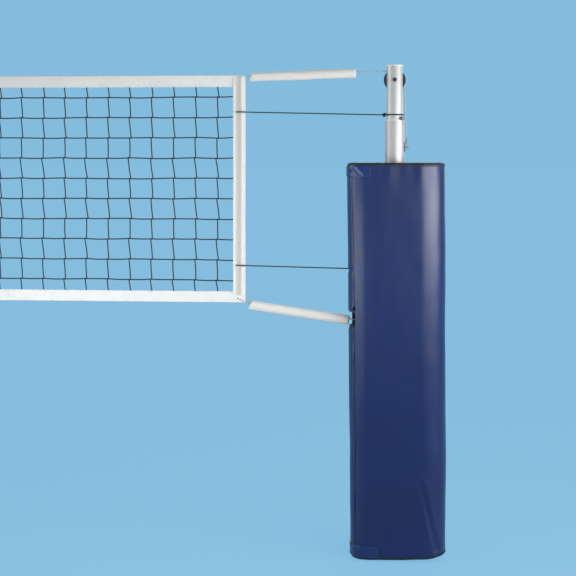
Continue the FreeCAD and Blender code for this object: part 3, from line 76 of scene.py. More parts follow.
camera_data = bpy.data.cameras.new("photo_camera")
camera_data.lens, camera_data.sensor_width, camera_data.shift_y = LENS_MM, SENSOR_MM, -LENS_SHIFT_DOWN
camera = add_object("photo_camera", camera_data)
camera.location = CAMERA_PLACE
camera.rotation_euler = (radians(90), 0, radians(CAMERA_TURN_DEGREES))
bpy.context.scene.camera = camera
bpy.context.scene.view_settings.view_transform = "Standard"
print("camera", CAMERA_PLACE, "lens", LENS_MM)

# %% [markdown]
# Shader maths is easier to read as a sum than as a web of boxes. `Field` wraps a node's output of numbers, and an
# ordinary Python sum on it adds the Math node. `Graph` adds any other node from its kind, inputs and settings,
# and serves material trees and geometry trees alike.

# %% Graphs of nodes
class Graph:
    """Adds nodes to one tree. An input takes a plain value, a field, a socket, or a node for its first output."""

    def __init__(self, tree):
        self.tree = tree
        tree.nodes.clear()

    def node(self, kind, inputs=None, **settings):
        made = self.tree.nodes.new(kind)
        for name, value in settings.items():
            setattr(made, name, value)
        for name, value in (inputs or {}).items():
            self.feed(made.inputs[name], value)
        return made

    def field(self, kind, inputs=None, **settings):
        return Field(self, self.node(kind, inputs, **settings))

    def feed(self, socket, value):
        if isinstance(value, Field):
            value = value.source
        if isinstance(value, bpy.types.Node):
            value = next(output for output in value.outputs if output.enabled)
        if isinstance(value, bpy.types.NodeSocket):
            self.tree.links.new(value, socket)
        else:
            socket.default_value = value

    def split(self, vector):
        """The three coordinates of a vector."""
        return [Field(self, output) for output in self.node("ShaderNodeSeparateXYZ", {0: vector}).outputs]


def operators(operation):
    """A Python operator and its mirror image, which add that Math node."""
    return (lambda self, other: self.maths(operation, self, other),
            lambda self, other: self.maths(operation, other, self))


class Field:
    """A number that changes over a surface."""

    def __init__(self, graph, source):
        self.graph, self.source = graph, source

    def maths(self, operation, *values):
        return self.graph.field("ShaderNodeMath", dict(enumerate(values)), operation=operation)

    __add__, __radd__ = operators("ADD")
    __sub__, __rsub__ = operators("SUBTRACT")
    __mul__, __rmul__ = operators("MULTIPLY")
    __truediv__, __rtruediv__ = operators("DIVIDE")
    __pow__, __rpow__ = operators("POWER")

    def sine(self):
        return self.maths("SINE", self)

    def absolute(self):
        return self.maths("ABSOLUTE", self)

    def larger(self, other):
        return self.maths("MAXIMUM", self, other)

    def step(self, low, high):
        """Rises smoothly from 0 at low to 1 at high."""
        return self.graph.field("ShaderNodeMapRange", {"Value": self, "From Min": low, "From Max": high},
                                interpolation_type="SMOOTHSTEP")


FINISHES = {}


class Finish(Graph):
    """A material: uniform values go on the shader's sockets, and fields go through the methods."""

    def __init__(self, name, colour, roughness, metallic=0.0, **uniform):
        self.material = bpy.data.materials.new(name)
        self.material.use_nodes = True
        super().__init__(self.material.node_tree)
        self.shader = self.node("ShaderNodeBsdfPrincipled")
        self.surface = self.node("ShaderNodeOutputMaterial", {"Surface": self.shader}).inputs["Surface"]
        self.colour, self.height = colour, None
        uniform.update(Base_Color=(*colour, 1), Roughness=roughness, Metallic=metallic)
        for socket, value in uniform.items():
            self.set(socket.replace("_", " "), value)
        FINISHES[name] = self

    def set(self, socket, value):
        self.feed(self.shader.inputs[socket], value)

    def place(self, stretch=(1, 1, 1)):
        """The point on the piece, stretched along the axes."""
        where = self.node("ShaderNodeTexCoord").outputs["Object"]
        return where if stretch == (1, 1, 1) else self.node("ShaderNodeMapping", {"Vector": where, "Scale": stretch})

    def clouds(self, grain, detail=3.0, stretch=(1, 1, 1)):
        """Soft blotches of about that grain, in metres, from 0 to 1."""
        return self.field("ShaderNodeTexNoise", {
            "Vector": self.place(stretch), "Scale": 1 / grain, "Detail": detail, "Roughness": 0.55})

    def cells(self, grain):
        """Distance to the nearest of scattered points: pebbled grain."""
        return self.field("ShaderNodeTexVoronoi", {"Vector": self.place(), "Scale": 1 / grain}, feature="F1")

    def paint(self, amount, second, first=None):
        """Go from the first colour, or the finish's own, to the second as the amount goes from 0 to 1."""
        colours = {6: (*(first or self.colour), 1), 7: (*second, 1)}
        self.set("Base Color", self.node("ShaderNodeMix", {"Factor": amount, **colours}, data_type="RGBA"))

    def emboss(self, height, depth):
        """Raise the surface by that depth, in metres, where the height is 1."""
        below = {"Normal": self.height} if self.height else {}
        self.height = self.node("ShaderNodeBump", {"Height": height, "Distance": depth, "Strength": 1.0, **below})
        self.set("Normal", self.height)


def wear(piece, finish):
    """Give a piece one finish over its whole surface."""
    piece.data.materials.clear()
    piece.data.materials.append(FINISHES[finish].material)


print("graphs ready")

# %% [markdown]
# The pad's cover is vinyl-coated cloth: deep navy, faintly mottled, with a fine pebble grain and a soft sheen
# where it bends to the light. The grain is embossed, and the sheen comes from a middling roughness that
# handling has polished unevenly. The straps are the same stuff in a lighter blue, and the bindings a near-black
# one. Where the cover is cut, bare foam shows: dull and full of fine cells, and near-black, which is partly
# painted shade for the dark inside of the cut.

# %% Vinyl and foam
def vinyl(name, colour, roughness):
    made = Finish(name, colour, roughness, Specular_IOR_Level=0.52)
    made.paint(made.clouds(0.22, 4.0).step(0.3, 0.7), [c * 1.12 for c in colour], [c * 0.90 for c in colour])
    made.set("Roughness", roughness - 0.05 + 0.10 * made.clouds(0.035, 5.0, (1, 1, 0.35)))
    made.emboss(made.cells(0.0016) ** 2.0, 0.00005)
    made.emboss(made.clouds(0.012, 2.0), 0.0003)


vinyl("pad_vinyl", (0.0003, 0.0064, 0.0620), 0.36)
vinyl("strap_vinyl", (0.0035, 0.0130, 0.0850), 0.30)
vinyl("piping_vinyl", (0.0008, 0.0022, 0.0100), 0.55)

# near-black foam: partly painted shade for the dark inside of the notch and the window
foam = Finish("pad_foam", (0.014, 0.017, 0.026), 0.9)
foam.paint(foam.cells(0.0018).step(0.1, 0.7), (0.030, 0.034, 0.046))
foam.emboss(foam.cells(0.0018), 0.0005)
print("vinyl finishes:", [name for name in FINISHES if "vinyl" in name])

# %% [markdown]
# The net's borders are white coated tape, and its upright bands are canvas with white binding along both
# edges. Both show threads crossing over and under, which is a product of two sine waves. Dust greys the tape
# a little between the threads. The band's middle is a darker beige, partly the canvas's own colour and partly
# painted shade over the rod's bulge, and it is picked out by the distance from its centre line.

# %% Tape, canvas and padded cloth
WHITE = (0.655, 0.665, 0.655)
BAND_MIDDLE = 0.7305


def woven(name, colour, dirt, roughness, pitch):
    made = Finish(name, colour, roughness, Sheen_Weight=0.15)
    across, _, up = made.split(made.place())
    waves = TURN / pitch
    threads = ((across * waves).sine() * (up * waves).sine()) * 0.5 + 0.5
    made.paint(made.clouds(0.09, 4.0).step(0.42, 0.8) * 0.55 + threads * 0.12, dirt)
    made.set("Roughness", roughness - 0.05 + threads * 0.1)
    made.emboss(threads, pitch * 0.12)
    return made


woven("tape_white", WHITE, (0.55, 0.56, 0.55), 0.55, 0.0016)
woven("sleeve_cloth", (0.60, 0.595, 0.575), (0.53, 0.525, 0.51), 0.8, 0.0012)
# partly painted shade: the band's darker beige base stands for the canvas and for the shade over the rod's bulge
band = woven("band_canvas", (0.50, 0.49, 0.455), (0.53, 0.52, 0.48), 0.75, 0.0018)
band_x = band.split(band.place())[0]
from_right, from_left = [(band_x - middle).absolute() for middle in (-BAND_MIDDLE, BAND_MIDDLE - POST_SPACING)]
band.paint(from_right.maths("MINIMUM", from_right, from_left).step(0.0125, 0.0145), WHITE)
print("cloth finishes ready, white tape", WHITE)

# %% [markdown]
# Rope is braided: strands cross in two directions as they wind round it, with painted shade in the gaps. Every tube
# made below carries its own surface coordinates, the length along it and the way round it, both in metres, so the
# braid follows each bend.
# The twine of the net is too thin to show strands, so it only gets a mottled, dull, tarred colour.

# %% Rope and thread
ROPE_R = 0.0025
BRAID_PITCH, STRANDS = 0.006, 6


def braided(name, colour, gap_shade):
    made = Finish(name, colour, 0.8, Sheen_Weight=0.1)
    length, girth, _ = made.split(made.node("ShaderNodeTexCoord").outputs["UV"])
    along, around = length * (TURN / BRAID_PITCH), girth * (STRANDS / 2 / ROPE_R)
    strand = (along + around).sine().larger((along - around).sine()).step(-0.2, 1.0)
    # painted shade: the gaps between the strands are painted darker
    made.paint(1 - strand, gap_shade)
    made.emboss(strand, 0.0006)
    made.set("Roughness", 0.75 + strand * 0.15)


def plain_thread(name, colour, shade):
    made = Finish(name, colour, 0.85)
    made.paint(made.clouds(0.004, 2.0), shade)
    made.emboss(made.clouds(0.002, 2.0), 0.0003)


braided("rope_light", (0.46, 0.50, 0.52), (0.22, 0.24, 0.25))
braided("rope_grey", (0.33, 0.37, 0.40), (0.16, 0.185, 0.205))
braided("cord_black", (0.020, 0.022, 0.024), (0.006, 0.006, 0.007))
plain_thread("net_twine", (0.010, 0.026, 0.036), (0.005, 0.014, 0.020))
plain_thread("thread_navy", (0.030, 0.055, 0.20), (0.015, 0.030, 0.11))
plain_thread("thread_white", (0.75, 0.74, 0.70), (0.55, 0.54, 0.50))
print("ropes and threads ready")

# %% [markdown]
# Hard parts come next. Drawn aluminium tube has faint lines along its length and a satin anodised skin, cast
# parts are rough under their paint, turned parts are finely marked, and plated bolts are bright with dull
# patches. Each finish changes its roughness and its bump over the surface, because real metal is never even.

# %% Metals and plastics
def metal(name, colour, shade, roughness, grain, stretch=(1, 1, 1), metallic=1.0, depth=0.00008, **uniform):
    made = Finish(name, colour, roughness, metallic, **uniform)
    marks, patches = made.clouds(grain, 4.0, stretch), made.clouds(0.05)
    made.paint(marks.step(0.35, 0.75) * 0.5 + patches * 0.3, shade)
    made.set("Roughness", roughness - 0.08 + marks * 0.12 + patches * 0.08)
    made.emboss(marks, depth)


def plastic(name, colour, roughness, grain, depth):
    made = Finish(name, colour, roughness)
    haze = made.clouds(0.03, 4.0)
    made.paint(haze * 0.5, [c * 1.6 + 0.008 for c in colour])
    made.set("Roughness", roughness - 0.06 + haze * 0.14)
    made.emboss(made.cells(grain), depth)


DRAWN = (1, 1, 0.02)
metal("tube_aluminium", (0.42, 0.40, 0.375), (0.35, 0.33, 0.31), 0.38, 0.0012, DRAWN, 0.30)
metal("mast_aluminium", (0.45, 0.43, 0.405), (0.38, 0.36, 0.34), 0.36, 0.0012, DRAWN, 0.30)
metal("zinc_steel", (0.56, 0.57, 0.58), (0.38, 0.39, 0.40), 0.34, 0.004)
metal("pin_steel", (0.17, 0.17, 0.18), (0.10, 0.10, 0.11), 0.42, 0.004, metallic=0.8)
metal("dark_steel", (0.060, 0.060, 0.066), (0.030, 0.028, 0.027), 0.42, 0.004, metallic=0.8)
metal("ground_steel", (0.58, 0.58, 0.57), (0.42, 0.42, 0.42), 0.25, 0.0010)
metal("bronze", (0.58, 0.38, 0.16), (0.30, 0.18, 0.08), 0.36, 0.003)
metal("eyelet_brass", (0.36, 0.29, 0.17), (0.20, 0.155, 0.09), 0.46, 0.003, metallic=0.7)
metal("case_iron", (0.13, 0.14, 0.15), (0.08, 0.085, 0.09), 0.50, 0.0025, metallic=0.3, depth=0.0004)
metal("frame_paint", (0.022, 0.024, 0.028), (0.012, 0.013, 0.015), 0.38, 0.006, metallic=0.0, Coat_Weight=0.3)
plastic("bush_plastic", (0.018, 0.018, 0.020), 0.45, 0.0012, 0.00006)
plastic("cap_plastic", (0.55, 0.53, 0.49), 0.45, 0.0012, 0.00006)
plastic("sheave_nylon", (0.012, 0.012, 0.014), 0.35, 0.0010, 0.00004)
plastic("grip_rubber", (0.014, 0.014, 0.015), 0.65, 0.0022, 0.00030)
plastic("rod_fibre", (0.70, 0.69, 0.64), 0.40, 0.0008, 0.00003)
plastic("grommet_nylon", (0.72, 0.72, 0.70), 0.35, 0.0010, 0.00003)

CAD_FINISHES = {
    "tube_aluminium": "right_lower_tube left_lower_tube",
    "mast_aluminium": "right_upper_tube left_upper_tube",
    "bush_plastic": "foot_plugs",
    "cap_plastic": "right_top_cap left_top_cap guide_bushes",
    "sheave_nylon": "right_sheave left_sheave",
    "zinc_steel": "anchor_rivets bottom_eyes winch_u_bolts winch_u_bolt_nuts gear_case_screws right_axle_nut"
                  " left_axle_nut winch_drum crank_arm crank_handle_bolt crank_nuts",
    "pin_steel": "rope_anchor right_locking_pin left_locking_pin",
    "dark_steel": "right_axle_bolt left_axle_bolt",
    "ground_steel": "drum_shaft worm_shaft",
    "bronze": "winch_bushes right_sheave_bush left_sheave_bush worm_wheel",
    "eyelet_brass": "eyelets",
    "case_iron": "gear_case gear_case_cover",
    "frame_paint": "winch_frame winch_saddle",
    "grip_rubber": "crank_grip",
    "rod_fibre": "side_rods",
}
for finish, names in CAD_FINISHES.items():
    for name in names.split():
        wear(nodes[name], finish)
print("CAD nodes finished:", sum(len(names.split()) for names in CAD_FINISHES.values()))

# %% [markdown]
# Two helpers make nearly every soft piece. `lofted` skins a row of closed rings, which suits pads, tapes and
# bands, whose section hardly changes. `tube` sweeps a circle along a path and gives it surface coordinates in
# metres, which suits rope. Both close their ends and turn their faces outwards. `stand` puts a point that is
# drawn at the right post at the left one, turned half round.

# %% Skins and tubes
SIDES = (("right", False), ("left", True))


def between(low, high, steps):
    """Evenly spaced values from low to high."""
    return [low + (high - low) * step / steps for step in range(steps + 1)]


def add_piece(name, mesh, finish, body=None):
    piece = add_object(name, mesh)
    wear(piece, finish)
    if body:
        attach(piece, body)
    return piece


def face_outwards(mesh):
    shell = bmesh.new()
    shell.from_mesh(mesh)
    bmesh.ops.recalc_face_normals(shell, faces=shell.faces)
    shell.to_mesh(mesh)
    shell.free()
    mesh.polygons.foreach_set("use_smooth", [True] * len(mesh.polygons))


def skin_mesh(name, points, faces, sharp_degrees=None, coordinates=None):
    """A smooth mesh with its faces outwards, and with sharp edges and surface coordinates where they are given."""
    mesh = bpy.data.meshes.new(name)
    mesh.from_pydata([tuple(p) for p in points], [], faces)
    if coordinates:
        layer = mesh.uv_layers.new(name="length_and_girth")
        layer.data.foreach_set("uv", [value for pair in coordinates for value in pair])
    face_outwards(mesh)
    if sharp_degrees:
        mesh.set_sharp_from_angle(angle=radians(sharp_degrees))
    return mesh


def ring_faces(rings, count, closed=False):
    """Faces between neighbouring rings of that many points, and from the last ring to the first where closed."""
    return [[row * count + i, row * count + (i + 1) % count,
             (row + 1) % rings * count + (i + 1) % count, (row + 1) % rings * count + i]
            for row in range(rings if closed else rings - 1) for i in range(count)]


def cap_faces(rings, count):
    return [list(range(count))[::-1], list(range((rings - 1) * count, rings * count))]


def lofted(name, rings, finish, body=None, sharp_degrees=50, closed=False):
    """Skin rings of the same number of points, with a flat cap at each end unless the rings go right round."""
    size = len(rings), len(rings[0])
    faces = ([] if closed else cap_faces(*size)) + ring_faces(*size, closed)
    return add_piece(name, skin_mesh(name, [p for ring in rings for p in ring], faces, sharp_degrees), finish, body)


def ways(path, closed=False):
    """The direction of a path at each of its points."""
    before, after = (path[-1:], path[:1]) if closed else (path[:1], path[-1:])
    return [(b - a).normalized() for a, b in zip(before + path[:-1], path[1:] + after)]


def spoke(angle, radius, first=(1, 0, 0), second=(0, 0, 1)):
    """From a circle's centre to its rim at that angle, in the plane of two directions."""
    return (Vector(first) * cos(angle) + Vector(second) * sin(angle)) * radius


def tube(name, path, radius, finish, body=None, sides=10, closed=False):
    """A round tube along a path, with its length and its girth as surface coordinates."""
    path = [Vector(p) for p in path]
    side = ways(path, closed)[0].orthogonal()
    points, coordinates, travelled = [], [], [0.0]
    for here, way in zip(path, ways(path, closed)):
        side = (side - way * side.dot(way)).normalized()
        points += [here + spoke(a, radius, side, way.cross(side)) for a in between(0, TURN, sides)[:-1]]
    for first, second in zip(path, path[1:]):
        travelled.append(travelled[-1] + (second - first).length)
    width = TURN * radius / sides
    travelled += [travelled[-1] + width] if closed else []
    for near, far in zip(travelled, travelled[1:]):
        for step in range(sides):
            turn = step * width
            coordinates += [(near, turn), (near, turn + width), (far, turn + width), (far, turn)]
    faces = ring_faces(len(path), sides, closed)
    if not closed:
        faces += cap_faces(len(path), sides)
        coordinates += [(0, 0)] * (2 * sides)
    return add_piece(name, skin_mesh(name, points, faces, coordinates=coordinates), finish, body)


def arc(centre, radius, start, end, steps, *plane):
    """Points along an arc, upright in XZ unless a plane is given."""
    return [Vector(centre) + spoke(angle, radius, *plane) for angle in between(start, end, steps)]


def ring_path(centre, radius, steps, *plane):
    return arc(centre, radius, 0, TURN, steps, *plane)[:-1]


def line(start, end, steps):
    return [Vector(start).lerp(Vector(end), share) for share in between(0, 1, steps)]


def joined_paths(*paths):
    """Paths end to end, without the doubled points where they meet."""
    made = list(paths[0])
    for path in paths[1:]:
        made += path[1:] if (path[0] - made[-1]).length < 1e-5 else path
    return made


def length_of(points):
    return sum((b - a).length for a, b in zip(points, points[1:]))


def rounded_corner(before, corner, after, reach, steps=8):
    """A smooth bend at a corner that starts and ends that far from it."""
    corner = Vector(corner)
    start, end = [corner + (Vector(p) - corner).normalized() * reach for p in (before, after)]
    return [start * (1 - t) ** 2 + corner * (2 * t * (1 - t)) + end * t ** 2 for t in between(0, 1, steps)]


def stand(point, left):
    x, y, z = point
    return Vector((-POST_SPACING - x, -y, z)) if left else Vector((x, y, z))


def stand_path(path, left):
    return [stand(point, left) for point in path]


print("helpers ready")

# %% [markdown]
# The floor and the light. The floor is a plain pale sheet, and the sky behind it has the same colour for the
# camera and for reflections. Three wide suns act as studio soft boxes: they light eleven metres of net evenly,
# where a lamp near one post would leave the other in the dark. The key stands low on the right, the fill low on
# the left and the third behind. Beside each post stand two real soft boxes as well. What they are for is their
# reflection: vinyl and metal show a bright patch that fades up and down the post, as they do in a studio.

# %% Sky and lamps
BACKDROP = (0.2346, 0.503, 0.723)
AMBIENT, AMBIENT_STRENGTH = (1.0, 0.99, 0.97), 0.42


def looking(graph, *kinds):
    """1 for the rays of those kinds, and 0 for light on its way round the scene."""
    outputs = graph.node("ShaderNodeLightPath").outputs
    share = Field(graph, outputs["Is Camera Ray"])
    for kind in kinds:
        share = share.larger(Field(graph, outputs[f"Is {kind} Ray"]))
    return share


world = bpy.data.worlds.new("studio")
world.use_nodes = True
bpy.context.scene.world = world
sky = Graph(world.node_tree)
ambient = sky.node("ShaderNodeBackground", {"Color": (*AMBIENT, 1), "Strength": AMBIENT_STRENGTH})
shown = sky.node("ShaderNodeBackground", {"Color": (*BACKDROP, 1), "Strength": 1.0})
choice = sky.node("ShaderNodeMixShader", {"Fac": looking(sky, "Glossy", "Transmission"), 1: ambient, 2: shown})
sky.node("ShaderNodeOutputWorld", {"Surface": choice})


def lamp(name, kind, energy, colour, towards):
    data = bpy.data.lights.new(name, kind)
    data.energy, data.color = energy, colour
    made = add_object(name, data)
    made.rotation_euler = Vector(towards).to_track_quat("-Z", "Y").to_euler()
    return made


def sun(name, strength, spread_degrees, from_right, elevation, colour=(1, 1, 1)):
    """A soft sun; from_right is its bearing from the viewer's own, in degrees, positive to the right."""
    bearing, height = radians(from_right), radians(elevation)
    towards = (-sin(bearing) * cos(height), cos(bearing) * cos(height), -sin(height))
    lamp(name, "SUN", strength, colour, towards).data.angle = radians(spread_degrees)


def soft_box(name, place, aim, wide, tall, radiance, colour):
    """A soft box that a glossy surface shows as a patch of that brightness."""
    made = lamp(name, "AREA", radiance * pi * wide * tall, colour, Vector(aim) - Vector(place))
    made.data.shape, made.data.size, made.data.size_y = "RECTANGLE", wide, tall
    made.location, made.visible_camera = place, False


sun("key_light", strength=1.4, spread_degrees=44, from_right=66, elevation=7)
sun("fill_light", strength=1.3, spread_degrees=40, from_right=-82, elevation=7, colour=(0.97, 0.98, 1.0))
sun("back_light", strength=1.6, spread_degrees=50, from_right=170, elevation=14)
for side_name, post_x, outwards in (("right", 0.0, 1), ("left", -POST_SPACING, -1)):
    for name, (x, y, z), aim_z, *light in (  # place from the post, height aimed at, then as soft_box has them
        ("outer_box", (1.50, -1.20, 1.60), 1.45, 2.8, 0.80, 8.0, (0.96, 0.98, 1.0)),
        ("net_box", (-1.60, -1.45, 1.20), 1.20, 2.0, 0.75, 3.9, (0.88, 0.94, 1.0)),
    ):
        soft_box(f"{side_name}_{name}", (post_x + outwards * x, y, z), (post_x, 0, aim_z), *light)

# %% [markdown]
# For light that bounces off it the floor is pale and warm, which lights the undersides of sleeves and tapes. The
# camera and reflections see mostly a glow of the backdrop's colour, and the shadow of the object on top of it.

# %% Floor
FLOOR_REACH = 150.0
FLOOR_PALE = (0.60, 0.58, 0.55)
GLOW_SHARE, FLOOR_LEVEL = 0.90, 0.60
corners = [(x * FLOOR_REACH, y * FLOOR_REACH, 0) for x, y in ((-1, -1), (1, -1), (1, 1), (-1, 1))]
floor_mesh = bpy.data.meshes.new("floor")
floor_mesh.from_pydata(corners, [], [(0, 1, 2, 3)])
floor_finish = Finish("floor_paint", FLOOR_PALE, 0.9, Specular_IOR_Level=0.0)
floor_finish.paint(floor_finish.clouds(2.0, 2.0) * 0.12, [c * 0.96 for c in FLOOR_PALE])
glow_colour = [(far - (1 - GLOW_SHARE) * near * FLOOR_LEVEL * warm) / GLOW_SHARE
               for far, near, warm in zip(BACKDROP, FLOOR_PALE, AMBIENT)]
glow = floor_finish.node("ShaderNodeEmission", {"Color": (*glow_colour, 1), "Strength": 1.0})
floor_finish.feed(floor_finish.surface, floor_finish.node("ShaderNodeMixShader", {
    "Fac": looking(floor_finish, "Glossy") * GLOW_SHARE, 1: floor_finish.shader, 2: glow}))
floor = add_piece("floor", floor_mesh, "floor_paint")
print("floor glow:", [round(c, 3) for c in glow_colour])

# %% [markdown]
# The safety pad is a tall slab of foam, bent into a D round the post and covered in vinyl. Its outside is one
# line in plan, carried up the post, and the hollow for the post is a smaller line of the same kind. Each line is
# four parts on each half: the flat side towards the net, a round corner, a long flat side and the round nose.

# %% Pad plan
PAD_LOW, PAD_HIGH = 0.0083, 1.8283
EDGE_ROUND, SEAM_HALF = 0.011, 0.005
NOSE_X = 0.116
OUTER = (-0.219, 0.118, 0.080)  # the net side's X, half the depth, the corner's radius
INNER = (-0.153, 0.052, 0.020)


def part_lengths(plan):
    """Lengths of the net side, the corner, the long side and the nose on one half of the line."""
    net_x, half_y, corner_r = plan
    return half_y - corner_r, corner_r * pi / 2, NOSE_X - net_x - corner_r, half_y * pi / 2


def plan_point(plan, part, share):
    """The point at a share of one part, on the half that faces the viewer, and the way outwards there."""
    net_x, half_y, corner_r = plan
    start_x, start_y = net_x + corner_r, half_y - corner_r
    angle = pi / 2 * share
    if part == 0:
        return Vector((net_x, -start_y * share, 0)), Vector((-1, 0, 0))
    if part == 1:
        out = Vector((-cos(angle), -sin(angle), 0))
        return Vector((start_x, -start_y, 0)) + out * corner_r, out
    if part == 2:
        return Vector((start_x + (NOSE_X - start_x) * share, -half_y, 0)), Vector((0, -1, 0))
    out = Vector((sin(angle), -cos(angle), 0))
    return Vector((NOSE_X, 0, 0)) + out * half_y, out


OUTER_LENGTHS = part_lengths(OUTER)
HALF_ROUND = sum(OUTER_LENGTHS)
print("once round the pad:", round(2 * HALF_ROUND, 3), "m")

# %% [markdown]
# A stuffed surface is never flat. `swell` says how far the stuffing stands out at a point: slow noise all over,
# folds where the cover is slack near its ends, a net side that leans in towards the floor, a crown pulled down
# under the closure, and one long crease low on the viewer's side. No cloth simulation is run, because firm foam
# under tight vinyl only ripples, and noise puts the ripples exactly where they are wanted. `cover` then gives any
# point of the finished surface from the distance round the pad and the height. The pad, its bindings, its flap,
# its straps and their stitches all use it, so they fit each other however the surface ripples.

# %% The stuffed cover
SLOW_SWELL, FINE_SWELL = 0.0022, 0.0009
END_FOLDS, END_REACH = 0.0030, 0.09
NET_LEAN = 0.0095  # for each metre below the top
NOSE_BELLY, BELLY_Z, BELLY_REACH = 0.0030, 0.45, 0.35
CROWN_DIP, CROWN_X, CROWN_REACH = 0.0060, -0.165, 0.06
HEM_WAVE, HEM_WAVE_REACH = 0.0024, 0.03
HEM_RISE, HEM_RISE_REACH, HEM_LEVEL_X, PAD_LENGTH = 0.013, 0.20, -0.10, 0.34
CREASE_DEPTH, CREASE_WIDTH = 0.0042, 0.009
RIDGE_HEIGHT, RIDGE_WIDTH, RIDGE_AWAY = 0.0034, 0.012, 0.018
CREASE_TOP, CREASE_FOOT = Vector((0.118, 0, 0.36)), Vector((0.192, 0, 0.045))


def bump(distance, width):
    return exp(-(distance / width) ** 2)


def rough(x, y, z):
    return noise.noise(Vector((x, y, z)))


def crease(point):
    """A valley along the crease with a soft ridge beside it."""
    run = CREASE_FOOT - CREASE_TOP
    there = Vector((point.x, 0, point.z)) - CREASE_TOP
    share = max(0.0, min(1.0, there.dot(run) / run.length_squared))
    away = (there - run * share).length
    return RIDGE_HEIGHT * bump(away - RIDGE_AWAY, RIDGE_WIDTH) - CREASE_DEPTH * bump(away, CREASE_WIDTH)


def swell(point, out, seed):
    """How far the stuffing pushes the cover out at a point."""
    x, y, z = point + Vector((seed, 0, 0))
    near_end = max(0.0, min(z - PAD_LOW, PAD_HIGH - z))
    pushed = rough(x * 5, y * 5, z * 3.2) * SLOW_SWELL + rough(x * 17 + 3, y * 17, z * 9) * FINE_SWELL
    pushed += rough(x * 22, y * 22, z * 5 + 7) * END_FOLDS * exp(-near_end / END_REACH)
    pushed -= max(0.0, -out.x) * NET_LEAN * (PAD_HIGH - z)
    pushed += max(0.0, out.x) * NOSE_BELLY * bump(z - BELLY_Z, BELLY_REACH)
    pushed -= abs(out.y) * CROWN_DIP * bump(point.x - CROWN_X, CROWN_REACH)
    if out.y < 0 and point.x > 0.02 and seed == 0:
        pushed += crease(point) * -out.y
    return pushed


def past_edge(z):
    """How far a height lies into the rounding at either end."""
    return max(0.0, z - (PAD_HIGH - EDGE_ROUND), PAD_LOW + EDGE_ROUND - z)


def cover(s, z, seed=0.0, lift=0.0, inset=0.0):
    """A point of the cover: s runs round from the seam, positive towards the viewer, z is the height."""
    s = (s + HALF_ROUND) % (2 * HALF_ROUND) - HALF_ROUND
    part, rest = 0, abs(s)
    while part < 3 and rest > OUTER_LENGTHS[part]:
        rest -= OUTER_LENGTHS[part]
        part += 1
    flat, out = plan_point(OUTER, part, min(1.0, rest / OUTER_LENGTHS[part]))
    if s < 0:
        flat.y, out.y = -flat.y, -out.y
    angle = asin(min(1.0, past_edge(z) / EDGE_ROUND))
    here = flat + Vector((0, 0, z)) - out * (EDGE_ROUND * (1 - cos(angle)) + inset)
    here += out * swell(here, out, seed)
    hem = rough(flat.x * 11 + seed, flat.y * 11, 2.0) * exp(-(z - PAD_LOW) / HEM_WAVE_REACH)
    hang = (flat.x - HEM_LEVEL_X) / PAD_LENGTH * exp(-(z - PAD_LOW) / HEM_RISE_REACH)
    here.z += HEM_WAVE * hem + HEM_RISE * hang
    upwards = copysign(sin(angle), z - PAD_HIGH / 2)
    return here + (out * cos(angle) + Vector((0, 0, upwards))) * lift


print("cover at the middle of the viewer's side:", [round(v, 4) for v in cover(0.30, 1.0)])

# %% Pad mesh
ROW_STEP = 0.0125
PART_STEPS = (5, 14, 28, 20)
PAD_SEEDS = {"right": 0.0, "left": 4.0}


def edge_heights(end, inwards):
    """Heights of the rows round the foam's rounded edge, from the end's face to the wall."""
    return [end + inwards * EDGE_ROUND * (1 - cos(angle)) for angle in between(0, pi / 2, 5)]


def pad_mesh(name, seed):
    """The cover outside, the hollow inside, and a face at each end."""
    wall = [PAD_LOW + EDGE_ROUND + ROW_STEP * step for step in range(1, 144)]
    heights = edge_heights(PAD_LOW, 1) + [z for z in wall if z < PAD_HIGH - EDGE_ROUND - 0.004]
    heights += edge_heights(PAD_HIGH, -1)[::-1]
    half = [(part, step / steps) for part, steps in enumerate(PART_STEPS) for step in range(steps)]
    half[0] = (0, SEAM_HALF / OUTER_LENGTHS[0])
    columns = [(*place, 1) for place in half] + [(3, 1.0, 1)] + [(*place, -1) for place in half[::-1]]
    points = []
    for height in heights:
        drawn_in = EDGE_ROUND * (1 - sqrt(max(0.0, 1 - (past_edge(height) / EDGE_ROUND) ** 2)))
        inside = []
        for part, share, sign in columns:
            s = sum(OUTER_LENGTHS[:part]) + OUTER_LENGTHS[part] * share
            points.append(cover(sign * s, height, seed))
            flat, out = plan_point(INNER, part, share)
            hollow = flat + out * drawn_in
            inside.append((hollow.x, hollow.y * sign, height))
        points += inside[::-1]
    around = 2 * len(columns)
    faces = ring_faces(len(heights), around)
    for first in (0, (len(heights) - 1) * around):
        faces += [[first + i, first + i + 1, first + around - 2 - i, first + around - 1 - i]
                  for i in range(len(columns) - 1)]
    return skin_mesh(name, points, faces)


def turned_mesh(mesh, left):
    """The mesh, moved to the left post and turned half round where it belongs there."""
    for vertex in mesh.vertices:
        vertex.co = stand(vertex.co, left)
    return mesh


pads = {}
for side_name, left in SIDES:
    mesh = turned_mesh(pad_mesh(f"{side_name}_pad_cover", PAD_SEEDS[side_name]), left)
    pads[side_name] = add_piece(mesh.name, mesh, "pad_vinyl", "posts")
print("pad faces:", len(pads["right"].data.polygons))

# %% [markdown]
# Both pads have a notch at the net side, where the net's lower corner rope goes in to the post, and the left pad
# has a window in its nose that lets the winch and its crank out. A Boolean modifier cuts them with rounded boxes,
# and the evaluated result becomes a plain mesh again. The cutters carry a second material, the bare foam, whose
# near-black is partly painted shade, and the faces that they leave keep it.

# %% Notches and window
def box_mesh(name, low, high, rounding):
    shell = bmesh.new()
    bmesh.ops.create_cube(shell, size=1.0)
    for vertex in shell.verts:
        vertex.co = Vector([(b + a) / 2 + c * (b - a) for a, b, c in zip(Vector(low), Vector(high), vertex.co)])
    bmesh.ops.bevel(shell, geom=shell.edges[:], offset=rounding, segments=3, profile=0.5, affect="EDGES")
    mesh = bpy.data.meshes.new(name)
    shell.to_mesh(mesh)
    shell.free()
    return mesh


